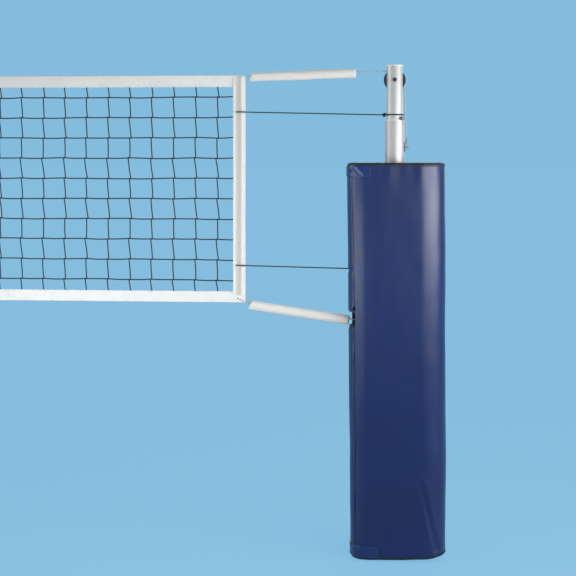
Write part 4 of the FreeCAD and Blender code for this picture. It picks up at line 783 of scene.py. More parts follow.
def plain_mesh(piece, name):
    """The piece's mesh as its modifiers leave it."""
    graph = bpy.context.evaluated_depsgraph_get()
    mesh = bpy.data.meshes.new_from_object(piece.evaluated_get(graph))
    mesh.name = name
    return mesh


def cut_out(piece, boxes):
    """Cut boxes out of a piece. The faces that they leave show the second material."""
    skins = [FINISHES[name].material for name in ("pad_vinyl", "pad_foam")]
    piece.data.materials.append(skins[1])
    cutters = [add_object("cutter", box) for box in boxes]
    for cutter in cutters:
        for skin in skins:
            cutter.data.materials.append(skin)
        cutter.data.polygons.foreach_set("material_index", [1] * len(cutter.data.polygons))
        cut = piece.modifiers.new("cut", "BOOLEAN")
        cut.operation, cut.solver, cut.object = "DIFFERENCE", "EXACT", cutter
    piece.data = plain_mesh(piece, piece.name)
    piece.modifiers.clear()
    for cutter in cutters:
        bpy.data.objects.remove(cutter)
    piece.data.set_sharp_from_angle(angle=radians(48))


NOTCH_NEAR, NOTCH_FAR = 0.181, 0.300
NOTCH_LOW, NOTCH_HIGH = (-0.100, 1.066), (0.075, 1.140)
WINDOW_BACK, WINDOW_OUT, WINDOW_HALF, WINDOW_LOW, WINDOW_HIGH = 0.062, 0.300, 0.074, 1.040, 1.260
NOTCH_ROUND, WINDOW_ROUND = 0.006, 0.012
notches = [box_mesh("notch", (near, *NOTCH_LOW), (far, *NOTCH_HIGH), NOTCH_ROUND) for near, far in (
    (-NOTCH_FAR, -NOTCH_NEAR), (-POST_SPACING + NOTCH_NEAR, -POST_SPACING + NOTCH_FAR))]
window = box_mesh("window", (-POST_SPACING - WINDOW_OUT, -WINDOW_HALF, WINDOW_LOW),
                  (-POST_SPACING + WINDOW_BACK, WINDOW_HALF, WINDOW_HIGH), WINDOW_ROUND)
cut_out(pads["right"], [notches[0]])
cut_out(pads["left"], [notches[1], window])
for side_name, pad in pads.items():
    print(pad.name, "faces by material:", [sum(p.material_index == i for p in pad.data.polygons) for i in (0, 1)])
    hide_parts(f"{side_name}_pad")

# %% [markdown]
# The cover's cut edges are bound with a folded strip of darker vinyl, as on a mattress. A binding follows the
# pad's end edge right round, so it is a thin section carried along the cover. The window has one too: there the
# section is carried along a closed line with rounded corners.

# %% Bindings
BINDING_OUT, BINDING_UNDER = 0.0011, -0.0006
RIBBON_WIDE, RIBBON_THICK, RIBBON_EDGE, RIBBON_UNDER = 0.013, 0.0013, 0.0002, -0.0008
WINDOW_MARGIN, LINE_ROUND, LINE_STEP = 0.005, 0.017, 0.008


def binding(name, end, inwards, left, seed):
    """A strip folded over one end edge of the pad."""
    section = [(end + inwards * wall, 0.0) for wall in (0.0165, 0.0130)]
    section += [(z, 0.0) for z in edge_heights(end, inwards)[::-1]] + [(end, 0.004), (end, 0.008)]
    rings = []
    for s in between(SEAM_HALF, 2 * HALF_ROUND - SEAM_HALF, 150):
        ring = [cover(s, z, seed, BINDING_OUT, inset) for z, inset in section]
        ring += [cover(s, z, seed, BINDING_UNDER, inset) for z, inset in section[::-1]]
        rings.append(stand_path(ring, left))
    lofted(name, rings, "piping_vinyl", "posts", sharp_degrees=60)


def ribbon(name, path, left, seed):
    """A closed ribbon on the cover, along points of distance round and height."""
    section = ((-0.5, RIBBON_EDGE), (-0.4, RIBBON_THICK), (0.4, RIBBON_THICK), (0.5, RIBBON_EDGE),
               (0.4, RIBBON_UNDER), (-0.4, RIBBON_UNDER))
    rings = []
    for (s, z), way in zip(path, ways(path, True)):
        x, y = way * RIBBON_WIDE
        rings.append(stand_path([cover(s + y * t, z - x * t, seed, rise) for t, rise in section], left))
    lofted(name, rings, "piping_vinyl", "posts", sharp_degrees=60, closed=True)


def rounded_box_path(middle_s, half_s, low, high, corner):
    """A closed line round a box with rounded corners."""
    near, far = middle_s + half_s - corner, middle_s - half_s + corner
    bends, path = [], []
    for s, z, begin in ((near, low + corner, -1), (near, high - corner, 0), (far, high - corner, 1),
                        (far, low + corner, 2)):
        bends.append([Vector((s + cos(angle) * corner, z + sin(angle) * corner))
                      for angle in between(begin * pi / 2, (begin + 1) * pi / 2, 8)])
    for bend, after in zip(bends, bends[1:] + bends[:1]):
        count = int((after[0] - bend[-1]).length / LINE_STEP + 1)
        path += bend + line(bend[-1], after[0], count)[1:-1]
    return path


for side_name, left in SIDES:
    binding(f"{side_name}_pad_top_binding", PAD_HIGH, -1, left, PAD_SEEDS[side_name])
    binding(f"{side_name}_pad_bottom_binding", PAD_LOW, 1, left, PAD_SEEDS[side_name])
window_half = OUTER[1] * asin(WINDOW_HALF / OUTER[1]) + WINDOW_MARGIN
window_line = rounded_box_path(HALF_ROUND, window_half, WINDOW_LOW - WINDOW_MARGIN, WINDOW_HIGH + WINDOW_MARGIN,
                               LINE_ROUND)
ribbon("left_window_binding", window_line, True, PAD_SEEDS["left"])
print("window binding:", len(window_line), "points")

# %% [markdown]
# The cover closes down the net side: a flap comes over the seam from behind and is held on the front by a hook
# strip underneath. It is left open at the notch. Two straps, one at each end, go over it and grip the cover. A
# flap or strap is a thin closed sheet on the cover, made from one grid of points outside and one inside. Its
# lift above the cover can change from place to place, which gives it curled corners and a fold.

# %% Flap and straps
FLAP_BACK, FLAP_FRONT, FLAP_THICK = -0.060, 0.108, 0.0024
FLAP_PIECES = ((0.024, 1.060), (1.146, 1.322), (1.338, 1.812))
STRAP_BACK, STRAP_THICK = -0.174, 0.0026
FLAP_CLEAR, STRAP_CLEAR = 0.0003, 0.0005
FLAP_MIDDLE, FLAP_HALF, FLAP_SLOPE = 0.024, 0.090, 0.003
FOLD_START, FOLD_RUN = Vector((0.107, 1.812)), Vector((0.045, -0.047))


def vinyl_sheet(name, finish, left, seed, start, end, low, high, thick, lift, columns, rows):
    """A sheet on the cover; start, end and lift are functions, so that edges wave and corners curl."""
    front, back, faces = [], [], []
    for row, z in enumerate(between(low, high, rows)):
        for column, s in enumerate(between(start(z), end(z), columns)):
            rise = thick * (0.6 if row in (0, rows) or column in (0, columns) else 1.0)
            here, raised = -s if left else s, lift(s, z)
            front.append(stand(cover(here, z, seed, raised + rise), left))
            back.append(stand(cover(here, z, seed, raised), left))
    wide, total = columns + 1, len(front)
    for row in range(rows):
        for a in range(row * wide, row * wide + columns):
            faces.append([a, a + 1, a + wide + 1, a + wide])
            faces.append([total + a + wide, total + a + wide + 1, total + a + 1, total + a])
    rim = list(range(columns)) + [row * wide + columns for row in range(rows)]
    rim += [total - 1 - index for index in rim]
    faces += [[second, first, total + first, total + second] for first, second in zip(rim, rim[1:] + rim[:1])]
    return add_piece(name, skin_mesh(name, front + back, faces, 60), finish, "posts")


def flap_edge(z):
    """The flap's front edge, which waves a little."""
    return FLAP_FRONT + 0.0025 * rough(0, 0, z * 7) - 0.014 * bump(z - 1.83, 0.40)


def flap_lift(s, z):
    """Flat on the cover, with its free edge proud here and there and one corner curled above the notch."""
    near_edge = exp(-max(0.0, flap_edge(z) - s) / 0.012)
    wave = max(0.0, rough(5.0, 0, z * 9)) * 0.0035 * near_edge
    return FLAP_CLEAR + wave + 0.010 * near_edge * bump(z - FLAP_PIECES[1][0], 0.020)


def strap_lift(s, z):
    """Over the flap where there is one, and down on the cover beyond its edge."""
    over_flap = 1 / (1 + exp((abs(s - FLAP_MIDDLE) - FLAP_HALF) / FLAP_SLOPE))
    return STRAP_CLEAR + (FLAP_THICK + 0.0007) * over_flap


def folded_lift(s, z):
    """The upper strap has a fold across it, from its top left to its lower edge."""
    there = Vector((s, z)) - FOLD_START
    away = (there.x * FOLD_RUN.y - there.y * FOLD_RUN.x) / FOLD_RUN.length
    fold = 0.0042 * bump(away + 0.013, 0.012) + 0.0022 * bump(away - 0.012, 0.010) - 0.0004 * bump(away, 0.004)
    return strap_lift(s, z) + fold


STRAPS = (("low", 0.0203, 0.0723, 0.226, strap_lift), ("high", 1.7643, 1.8163, 0.194, folded_lift))
for side_name, left in SIDES:
    on_cover = left, PAD_SEEDS[side_name]
    for number, (low, high) in enumerate(FLAP_PIECES):
        flap = vinyl_sheet(f"{side_name}_flap_{number + 1}", "pad_vinyl", *on_cover, lambda z: FLAP_BACK, flap_edge,
                           low, high, FLAP_THICK, flap_lift, 28, max(8, int((high - low) / 0.011)))
    for level, low, high, reach, lift in STRAPS:
        strap = vinyl_sheet(f"{side_name}_strap_{level}", "strap_vinyl", *on_cover, lambda z: STRAP_BACK,
                            lambda z: reach, low, high, STRAP_THICK, lift, 92, 14)
        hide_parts(f"{side_name}_pad_tabs")
print("flap pieces:", len(FLAP_PIECES), "straps:", len(STRAPS))

# %% [markdown]
# The net's borders are tape, folded over a rope and sewn through, so each tape is a thin sheet bent in section.
# The section is a line: up one side, round the rope, down the other. `folded_sheet` gives that line a thickness
# and carries it along the net, with a little unevenness at each station, because a sewn edge is never ruled.

# %% Folded tape
NET_END = 0.700
FAR_END = NET_END - POST_SPACING
NET_LENGTH = abs(FAR_END) - NET_END
TAPE_THICK = 0.0010
HEM_R, HEM_BEND, SKIRT_Y = 0.0040, 0.006, 0.0038
TOP_HEM_Z, LOW_HEM_Z = 2.2356, 1.1744


def folded_sheet(name, section, stations, place, finish, wobble):
    """Carry a section line, thickened to a sheet, through stations; place turns both into a point."""
    moved = [[here + Vector((-way.y, way.x)) * offset for here, way in zip(section, ways(section))]
             for offset in (TAPE_THICK / 2, -TAPE_THICK / 2)]
    rings = []
    for station in stations:
        rings.append([place(p + Vector((rough(station * 3.1, p.y * 9, 1.5) * wobble, 0)), station)
                      for p in moved[0] + moved[1][::-1]])
    return lofted(name, rings, finish, "mast_and_net", sharp_degrees=55)


def hem_section(hem_z, edge_z):
    """Half up, round and down: the tape's line in the YZ plane, from one loose edge to the other."""
    up = 1 if hem_z > edge_z else -1
    side = [Vector((-SKIRT_Y, edge_z + up * share * (abs(hem_z - edge_z) - HEM_BEND))) for share in
            (0, 0.08, 0.2, 0.35, 0.5, 0.65, 0.8, 0.92, 1)]
    bend = [Vector((cos(angle) * HEM_R, hem_z + up * sin(angle) * HEM_R))
            for angle in map(radians, between(205, -25, 14))]
    return side + bend + [Vector((-p.x, p.y)) for p in side[::-1]]


for name, hem_z, edge_z, rope in (
    ("top_tape", TOP_HEM_Z, 2.185, "net_rope"), ("bottom_tape", LOW_HEM_Z, 1.222, "hem_rope"),
):
    section = hem_section(hem_z, edge_z)
    tape = folded_sheet(f"{name}_cloth", section, between(FAR_END, -NET_END, 160),
                        lambda p, x: Vector((x, p.x, p.y)), "tape_white", 0.0005)
    length_of(section)
    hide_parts(name)
    print(name, "cut", round(length_of(section), 4), "wide")

# %% [markdown]
# At each end an upright band is folded round a stiff rod that keeps the net's end straight. It is the same kind
# of sheet: its section lies flat in plan, swells round the rod and closes at the outer fold. The band is sewn
# over the ends of both tapes, so its two layers stand further apart there.

# %% Side bands
BAND_WIDE, ROD_IN, ROD_POCKET = 0.058, 0.020, 0.0070
BAND_LOW, BAND_HIGH = 1.205, 2.2325
TAPE_EDGES = (1.2222, 2.1848)
OVER_TAPE, TAPE_SLOPE, LAYER_Y = 0.0026, 0.006, 0.0020
POCKET_HALF = 0.0095


def band_section():
    """The band's line in plan, measured from the net's end: front layer out, fold, back layer in."""
    front = [Vector((-BAND_WIDE + share * BAND_WIDE, -SKIRT_Y)) for share in (0, 0.03, 0.1, 0.25, 0.4, 0.48)]
    for angle in between(0, pi, 8):
        swell_y = SKIRT_Y + (ROD_POCKET - SKIRT_Y) * sin(angle) ** 1.2
        front.append(Vector((-ROD_IN - POCKET_HALF * cos(angle), -swell_y)))
    front += [Vector((-0.006, -0.0028)), Vector((-0.003, -0.0018)), Vector((-0.0012, -0.0010))]
    fold = [Vector((-0.0012 + 0.0006 * sin(a), -0.0010 * cos(a))) for a in (0.8, 1.57, 2.34)]
    return front + fold + [Vector((p.x, -p.y)) for p in front[::-1]]


def band_point(p, z, left):
    """A point of the band, spread where the tape lies between its layers, with a short slope up to there."""
    inside = min(z - TAPE_EDGES[0], TAPE_EDGES[1] - z)
    over_tape = 1 - max(0.0, min(1.0, inside / TAPE_SLOPE))
    spread = OVER_TAPE * over_tape * max(-1.0, min(1.0, p.y / LAYER_Y))
    return stand((p.x - NET_END, p.y + spread, z), left)


band_stations = [BAND_LOW + 0.006 * step for step in range(4)]
band_stations += between(TAPE_EDGES[0] + 0.008, TAPE_EDGES[1] - 0.008, 40)
band_stations += between(TAPE_EDGES[1] + 0.0015, BAND_HIGH, 6)
section = band_section()
for side_name, left in SIDES:
    piece = folded_sheet(f"{side_name}_band_cloth", section, band_stations,
                         lambda p, z: band_point(p, z, left), "band_canvas", 0.0004)
    length_of(section)
    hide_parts(f"{side_name}_side_band")
print("band cut", round(length_of(section), 4), "wide,", round(BAND_HIGH - BAND_LOW, 4), "long")

# %% [markdown]
# The net itself follows a rule, so Geometry Nodes make it. A grid gives the knots, its edges become strings, and
# a small lump sits on every crossing. The columns lean a little, as the knots of a hanging net slide, except
# at the two ends, where they are sewn to the bands. All sizes are named inputs of the tree.

# %% The net by Geometry Nodes
def geometry_tree(name, sizes):
    """A new tree with a Geometry output and one named number input for each size, and its input node."""
    tree = bpy.data.node_groups.new(name, "GeometryNodeTree")
    for way in ("INPUT", "OUTPUT"):
        tree.interface.new_socket("Geometry", in_out=way, socket_type="NodeSocketGeometry")
    for size, value in sizes.items():
        kind = "NodeSocketInt" if isinstance(value, int) else "NodeSocketFloat"
        tree.interface.new_socket(size, in_out="INPUT", socket_type=kind)
    graph = Graph(tree)
    return graph, graph.node("NodeGroupInput").outputs


def grown(name, graph, geometry, sizes, mesh, finish, body):
    """Close a tree, run it on a mesh with those sizes and keep the result as a plain piece."""
    real = graph.node("GeometryNodeRealizeInstances", {"Geometry": geometry})
    worn = graph.node("GeometryNodeSetMaterial", {"Geometry": real, "Material": FINISHES[finish].material})
    graph.node("NodeGroupOutput", {"Geometry": worn})
    seedling = add_object(name, mesh)
    modifier = seedling.modifiers.new(name, "NODES")
    modifier.node_group = graph.tree
    for item in graph.tree.interface.items_tree:
        if item.name in sizes:
            modifier[item.identifier] = sizes[item.name]
    result = plain_mesh(seedling, name)
    bpy.data.objects.remove(seedling)
    return add_piece(name, result, finish, body)


ROW_COUNT, ROW_PITCH, FIRST_ROW_Z = 11, 0.0958, 2.137
BAND_OVERLAP = 0.0505
NET_SIZES = {
    "Width": NET_LENGTH - 2 * BAND_OVERLAP,
    "Height": ROW_COUNT * ROW_PITCH,
    "Columns": 91,
    "Rows": ROW_COUNT,
    "End cell": 0.082,
    "Twine radius": 0.0028,
    "Knot radius": 0.0043,
    "Slack": 0.0020,
    "Knot width": 0.0080,
    "Fan": 0.0045,
}
graph, inputs = geometry_tree("knotted_net", NET_SIZES)
size = {name: Field(graph, inputs[name]) for name in NET_SIZES}


def moved(geometry, offset):
    return graph.node("GeometryNodeSetPosition", {"Geometry": geometry, "Offset": offset})


def random_vector(seed, low, high):
    return graph.node("FunctionNodeRandomValue", {"Seed": seed, 0: low, 1: high}, data_type="FLOAT_VECTOR")


def scaled(vector, amount):
    return graph.node("ShaderNodeVectorMath", {0: vector, "Scale": amount}, operation="SCALE")


grid = graph.node("GeometryNodeMeshGrid", {
    "Size X": size["Width"], "Size Y": size["Height"],
    "Vertices X": size["Columns"] + 1, "Vertices Y": size["Rows"] + 1})
across, up, _ = graph.split(graph.node("GeometryNodeInputPosition"))
half_width = size["Width"] * 0.5
inside = (half_width - across.absolute()).step(0.01, 0.06)
stretch = (half_width - size["End cell"]) / (half_width - size["Width"] / size["Columns"]) - 1
drift = (up * 23 + 1.3).sine() * (up * 9.1).sine() * 0.0035
fan = up / size["Height"] * 2 * size["Fan"] * (1 - inside)
settled = moved(grid, graph.node("ShaderNodeCombineXYZ", {0: (across * stretch + drift) * inside, 1: fan}))
knotted = moved(settled, scaled(random_vector(11, (-1, -1, -0.2), (1, 1, 0.2)), size["Slack"] * inside))
print("net grid ready:", NET_SIZES["Columns"], "by", NET_SIZES["Rows"], "cells")

# %% [markdown]
# Each edge of the grid becomes a curve of a few points, which hangs a little and is swept into twine. An upright
# string enters a knot on one side and leaves it on the other, so each one leans within its own cell. That lean
# comes from the curve's own tangent, and the string's ends land on both sides of the lump that stands for the knot.

# %% Twine and knots
strings = graph.node("GeometryNodeMeshToCurve", {"Mesh": knotted})
fine = graph.node("GeometryNodeResampleCurve", {"Curve": strings, "Count": 5})
along = graph.field("GeometryNodeSplineParameter")
lean = (0.5 - along) * graph.split(graph.node("GeometryNodeInputTangent"))[1] * size["Knot width"]
leaning = moved(fine, graph.node("ShaderNodeCombineXYZ", {0: lean}))
droop = graph.node("GeometryNodeFieldOnDomain", {0: random_vector(5, (-1, -1, -1), (1, 0.2, 1))},
                   domain="CURVE", data_type="FLOAT_VECTOR")
hung = moved(leaning, scaled(droop, (along * pi).sine() * size["Slack"]))
profile = graph.node("GeometryNodeCurvePrimitiveCircle", {"Resolution": 6, "Radius": size["Twine radius"]})
twine = graph.node("GeometryNodeCurveToMesh", {"Curve": hung, "Profile Curve": profile, "Fill Caps": True})
lumps = graph.node("GeometryNodeInstanceOnPoints", {
    "Points": knotted,
    "Instance": graph.node("GeometryNodeMeshIcoSphere", {"Radius": size["Knot radius"], "Subdivisions": 1}),
    "Rotation": random_vector(3, (-0.25, -0.25, -0.35), (0.25, 0.25, 0.35)), "Scale": (1.45, 1.0, 0.9)})
joined = graph.node("GeometryNodeJoinGeometry", {0: twine})
graph.feed(joined.inputs[0], lumps)
net_middle_z = FIRST_ROW_Z + ROW_PITCH - NET_SIZES["Height"] / 2
placed = graph.node("GeometryNodeTransform", {
    "Geometry": joined, "Translation": ((FAR_END - NET_END) / 2, 0, net_middle_z), "Rotation": (pi / 2, 0, 0)})
net = grown("knotted_net", graph, placed, NET_SIZES, bpy.data.meshes.new("seed"), "net_twine", "mast_and_net")
face_outwards(net.data)
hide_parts("net_mesh")
print("net faces:", len(net.data.polygons))

# %% [markdown]
# The ropes are taut, so their lines are straight from bend to bend: out of the left sheave, through the hem at
# the net's top, over the right sheave and down to an anchor, and on the left down to the winch. The points where
# a rope meets a sheave come from the tangent to its groove.

# %% Rope routes
SHEAVE, PITCH_R = Vector((0, 0, 2.214)), 0.0435
DRUM, WINDING_R = Vector((0.120, 0, 1.150)), 0.0298
ANCHOR_EYE, EYE_R = Vector((0.05525, 0, 1.9042)), 0.0085
CORNER, BEND_REACH = Vector((-NET_END, 0, TOP_HEM_Z)), 0.006
ANCHOR_TOP = ANCHOR_EYE + Vector((0, 0, EYE_R))


def leaving_angle(target, target_r):
    """Where a rope leaves the sheave's outer side for a point, or for the outside of a drum."""
    across = target - SHEAVE
    return atan2(across.z, across.x) + acos((PITCH_R + target_r) / across.length)


across = CORNER - SHEAVE
net_angle = atan2(across.z, across.x) % TURN - acos(PITCH_R / across.length)
left_angle = leaving_angle(DRUM, WINDING_R)
right_wrap = arc(SHEAVE, PITCH_R, net_angle, leaving_angle(ANCHOR_TOP, 0), 16)
left_wrap = arc(SHEAVE, PITCH_R, net_angle, left_angle, 16)
entry = rounded_corner(stand(CORNER, True), CORNER, right_wrap[0], BEND_REACH)
top_line = joined_paths(stand_path(left_wrap, True)[::-1], stand_path(entry, True)[::-1], entry, right_wrap)
net_rope = tube("net_rope", top_line, ROPE_R, "rope_light", "mast_and_net", sides=12)
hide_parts("top_rope")
hem_line = line((FAR_END, 0, LOW_HEM_Z), (-NET_END, 0, LOW_HEM_Z), 40)
hem_rope = tube("hem_rope", hem_line, ROPE_R, "rope_light", "mast_and_net")
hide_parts("bottom_rope")
print("rope over the net:", round(length_of(top_line), 3), "m, rope in the lower hem:", round(length_of(hem_line), 3))

# %% [markdown]
# The rope's fixed end carries a spliced eye that hooks over a peg. The eye is a closed ring of the same rope,
# and a whipping of thin cord covers the splice.

# %% Rope to the anchor
WHIP_STEPS, WHIP_TURNS, WHIP_R = 10, 14, 0.0009
COIL_STEPS, COIL_TURNS, COIL_PITCH = 24, 4, 0.0056


def merged(name, pieces, finish, body=None):
    """Several tubes made one piece."""
    shell = bmesh.new()
    for piece in pieces:
        shell.from_mesh(piece.data)
        bpy.data.objects.remove(piece)
    mesh = bpy.data.meshes.new(name)
    shell.to_mesh(mesh)
    shell.free()
    return add_piece(name, mesh, finish, body)


def whipping(start, end, radius):
    """A helix of thin cord round a rope, from one point to another."""
    way = (end - start).normalized()
    side = way.orthogonal().normalized()
    steps = WHIP_TURNS * WHIP_STEPS
    return [point + spoke(TURN * i / WHIP_STEPS, radius, side, way.cross(side))
            for i, point in enumerate(line(start, end, steps))]


fall = line(right_wrap[-1], ANCHOR_TOP, 12)
anchor_line = tube("fall", fall, ROPE_R, "rope_light")
anchor_eye = tube("eye", ring_path(ANCHOR_EYE, EYE_R, 28, (0, 1, 0)), ROPE_R, "rope_light", closed=True)
anchor_piece = merged("anchor_rope_line", [anchor_line, anchor_eye], "rope_light")
tuple(fall[0])
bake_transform(anchor_piece)
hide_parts("anchor_rope")
whip_line = whipping(ANCHOR_TOP + Vector((0, 0, 0.004)), ANCHOR_TOP + Vector((0, 0, 0.030)), ROPE_R + 0.0004)
tube("anchor_whipping", whip_line, WHIP_R, "rope_grey", "posts", sides=6)

winch_fall = stand_path(line(left_wrap[-1], DRUM - spoke(left_angle, WINDING_R), 16), True)
winch_piece = tube("winch_rope_line", winch_fall, ROPE_R, "rope_light")
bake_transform(winch_piece)
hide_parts("winch_rope")

coil = [DRUM + spoke(left_angle + pi + TURN * step / COIL_STEPS, WINDING_R)
        - Vector((0, COIL_PITCH * step / COIL_STEPS, 0)) for step in range(COIL_TURNS * COIL_STEPS + 1)]
wound = tube("wound_rope_line", stand_path(coil, True), ROPE_R, "rope_light", "drum", sides=12)
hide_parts("wound_rope")
print("falls:", round(length_of(fall), 3), round(length_of(winch_fall), 3), "winding", round(length_of(coil), 3))

# %% [markdown]
# The net's lower corners are pulled to eye bolts on the posts. The rope leaves the hem, dips and runs straight
# to a loop through the eye. It crosses from the sliding net to the fixed post.

# %% Corner ropes
LOOP, LOOP_R = Vector((-0.07565, 0, 1.079)), 0.0095
LOOP_START = LOOP - Vector((LOOP_R, 0, 0))
GROMMET = Vector((-0.7353, 0, 1.1895))
GROMMET_HOLE, GROMMET_RIM, HOLE_SHADE_R = 0.0042, 0.0030, 0.0052
RIM_OUT, HOLE_SHADE_OUT = 0.0006, 0.0007
BINDER_R, BINDER_REACH, BINDER_HALF = 0.0016, 0.0640, 0.0062
NET_SIDE, POST_SIDE = (-0.66, 0, 1.17), (-0.24, 0, 1.09)
corner_line = joined_paths(
    line((-NET_END, 0, LOW_HEM_Z), (-0.694, 0, LOW_HEM_Z), 2),
    rounded_corner((-0.70, 0, LOW_HEM_Z), (-0.688, 0, LOW_HEM_Z), LOOP_START, BEND_REACH),
    line((-0.67, 0, LOW_HEM_Z - (LOW_HEM_Z - LOOP.z) * 0.018 / 0.603), LOOP_START, 24))


def binder_path():
    """A long loop that goes through the grommet and round the rope where the sleeve begins."""
    way = (Vector((-0.676, 0, 1.162)) - GROMMET).normalized()
    middles = [GROMMET + way * BINDER_HALF, GROMMET + way * (BINDER_REACH - BINDER_HALF)]
    near, far = [arc(middle, BINDER_HALF * sign, pi / 2, pi * 1.5, 8, way, (0, 1, 0))
                 for middle, sign in zip(middles, (1, -1))]
    return joined_paths(near, line(near[-1], far[0], 10), far, line(far[-1], near[0], 10))[:-1]


def blend_to_post(piece, start, end, left):
    """Bakes the piece's placement into its mesh."""
    tuple(stand(start, left))
    tuple(stand(end, left))
    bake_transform(piece)


for side_name, left in SIDES:
    run = tube("run", stand_path(corner_line, left), ROPE_R, "rope_light")
    loop = tube("loop", stand_path(ring_path(LOOP, LOOP_R, 28), left), ROPE_R, "rope_light", closed=True)
    binder = tube("binder", stand_path(binder_path(), left), BINDER_R, "rope_light", sides=8, closed=True)
    piece = merged(f"{side_name}_corner_rope", [run, loop, binder], "rope_light")
    blend_to_post(piece, NET_SIDE, POST_SIDE, left)
    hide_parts("corner_ropes")
print("corner rope", round(length_of(corner_line), 3), "m")

# %% Grommets
for side_name, left in SIDES:
    rims, hole_shade = [], []
    for sign in (-1, 1):
        rim_centre = GROMMET + Vector((0, sign * (SKIRT_Y + RIM_OUT), 0))
        rim = stand_path(ring_path(rim_centre, GROMMET_HOLE + GROMMET_RIM, 32), left)
        rims.append(tube("rim", rim, GROMMET_RIM, "grommet_nylon", closed=True))
        # a near-black disc fills the grommet's hole: painted shade of the hole
        hole_shade_centre = GROMMET + Vector((0, sign * (SKIRT_Y + HOLE_SHADE_OUT), 0))
        hole_shade.append(stand_path(ring_path(hole_shade_centre, HOLE_SHADE_R, 24), left))
    merged(f"{side_name}_tape_grommet", rims, "grommet_nylon", "mast_and_net")
    lofted(f"{side_name}_grommet_hole_shade", hole_shade, "bush_plastic", "mast_and_net")
print("grommets ready")

# %% [markdown]
# Padded sleeves cover the ropes between net and post, so that nobody runs into a bare line. Each is a thick
# tube with rounded ends and gathers where the stuffing has settled. Its outline is a closed profile turned
# round an axis that hangs a little below the rope.

# %% Padded sleeves
SLEEVE_R, SLEEVE_BORE, SLEEVE_RIM = 0.0215, 0.0075, 0.006
SLEEVE_DROP = Vector((0, 0, SLEEVE_BORE - ROPE_R - 0.0003))
SLEEVE_SIDES = 48
LAP, LAP_AT = 0.0012, radians(-38)
GATHERS, SLOW_SWAY, SKIN_IN = 0.0011, 0.0012, 0.0008
SLANT, SLANT_REACH = 0.0075, 0.05


def sleeve_skin(name, start, end, seed):
    reach, way = (end - start).length, (end - start).normalized()
    side = way.cross(Vector((0, 0, 1))).normalized()
    up = side.cross(way)
    profile = [(0.004, SLEEVE_BORE), (0.0, SLEEVE_BORE + 0.003)]
    profile += [(SLEEVE_RIM * (1 - cos(a)), SLEEVE_R - SLEEVE_RIM * (1 - sin(a)))
                for a in (0.0, 0.4, 0.8, 1.2, 1.57)]
    rounded = profile[6:1:-1]
    profile += [(s, SLEEVE_R) for s in between(SLEEVE_RIM, reach - SLEEVE_RIM, 60)[1:-1]]
    profile += [(reach - s, r) for s, r in rounded]
    profile += [(reach, SLEEVE_BORE + 0.003), (reach - 0.004, SLEEVE_BORE)]
    profile += [(reach * share, SLEEVE_BORE) for share in (0.8, 0.6, 0.4, 0.2)]
    points = []
    for travelled, radius in profile:
        for angle in between(0, TURN, SLEEVE_SIDES)[:-1]:
            out_by = radius
            slant = way * (SLANT * sin(angle) * radius / SLEEVE_R * exp(-travelled / SLANT_REACH))
            if radius > SLEEVE_BORE + 0.004:
                x, y = cos(angle), sin(angle)
                lap = LAP * ((angle - LAP_AT) % TURN) / TURN
                out_by += (rough(travelled * 26 + seed, x * 1.3, y * 1.3) * GATHERS
                           + rough(travelled * 7 + seed, x, y) * SLOW_SWAY + lap - SKIN_IN)
            points.append(start + way * travelled + slant + spoke(angle, out_by, side, up))
    return skin_mesh(name, points, ring_faces(len(profile), SLEEVE_SIDES, True))


def sleeve_ends(through, towards, near_x, far_x):
    """Points below a rope, at two distances from the post."""
    way = (towards - through).normalized()
    return [through + way * ((x - through.x) / way.x) - SLEEVE_DROP for x in (near_x, far_x)]


top_ends = sleeve_ends(CORNER, right_wrap[0], -0.674, -0.181)
low_ends = sleeve_ends(Vector((-0.682, 0, LOW_HEM_Z - 0.010)), LOOP_START, -0.678, -0.212)
for side_name, left in SIDES:
    for level, ends, seed in (("top", top_ends, 1.0), ("bottom", low_ends, 9.0)):
        mesh = turned_mesh(sleeve_skin(f"{side_name}_{level}_sleeve_cover", *ends, seed + 20 * left), left)
        sleeve = add_piece(mesh.name, mesh, "sleeve_cloth", "mast_and_net" if level == "top" else None)
        if level == "bottom":
            blend_to_post(sleeve, NET_SIDE, POST_SIDE, left)
        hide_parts(f"{side_name}_{level}_sleeve")
print("sleeves ready")

# %% [markdown]
# Black cords tie the band to the post. Each passes through an eyelet, is stopped by a knot behind it, and runs
# to a knot at the post, where it goes once round. The knot is a trefoil, the curve that an overhand knot makes.

# %% Tie cords
CORD_R, KNOT_CORD_R, STOP_CORD_R = 0.0032, 0.0030, 0.0020
EYELET_X, EYELET_BEND = -0.742, 0.0055
CLEAR, KNOT_AWAY, LOOP_OPEN = 0.0003, 0.0105, 0.0037


def knot_path(centre, scale, tilt):
    made = []
    for t in between(0, TURN, 60)[:-1]:
        y, z = cos(t) - 2 * cos(2 * t), -sin(3 * t) * 1.4
        tilted = y * cos(tilt) - z * sin(tilt), y * sin(tilt) + z * cos(tilt)
        made.append(centre + Vector((sin(t) + 2 * sin(2 * t), *tilted)) * scale)
    return made


def post_loop(post_r, height):
    """Once round the post in plan."""
    loop_r = post_r + CLEAR + CORD_R
    gap = asin(LOOP_OPEN / loop_r)
    return arc((0, 0, height), loop_r, -pi + gap, pi - gap, 64, (1, 0, 0), (0, 1, 0))


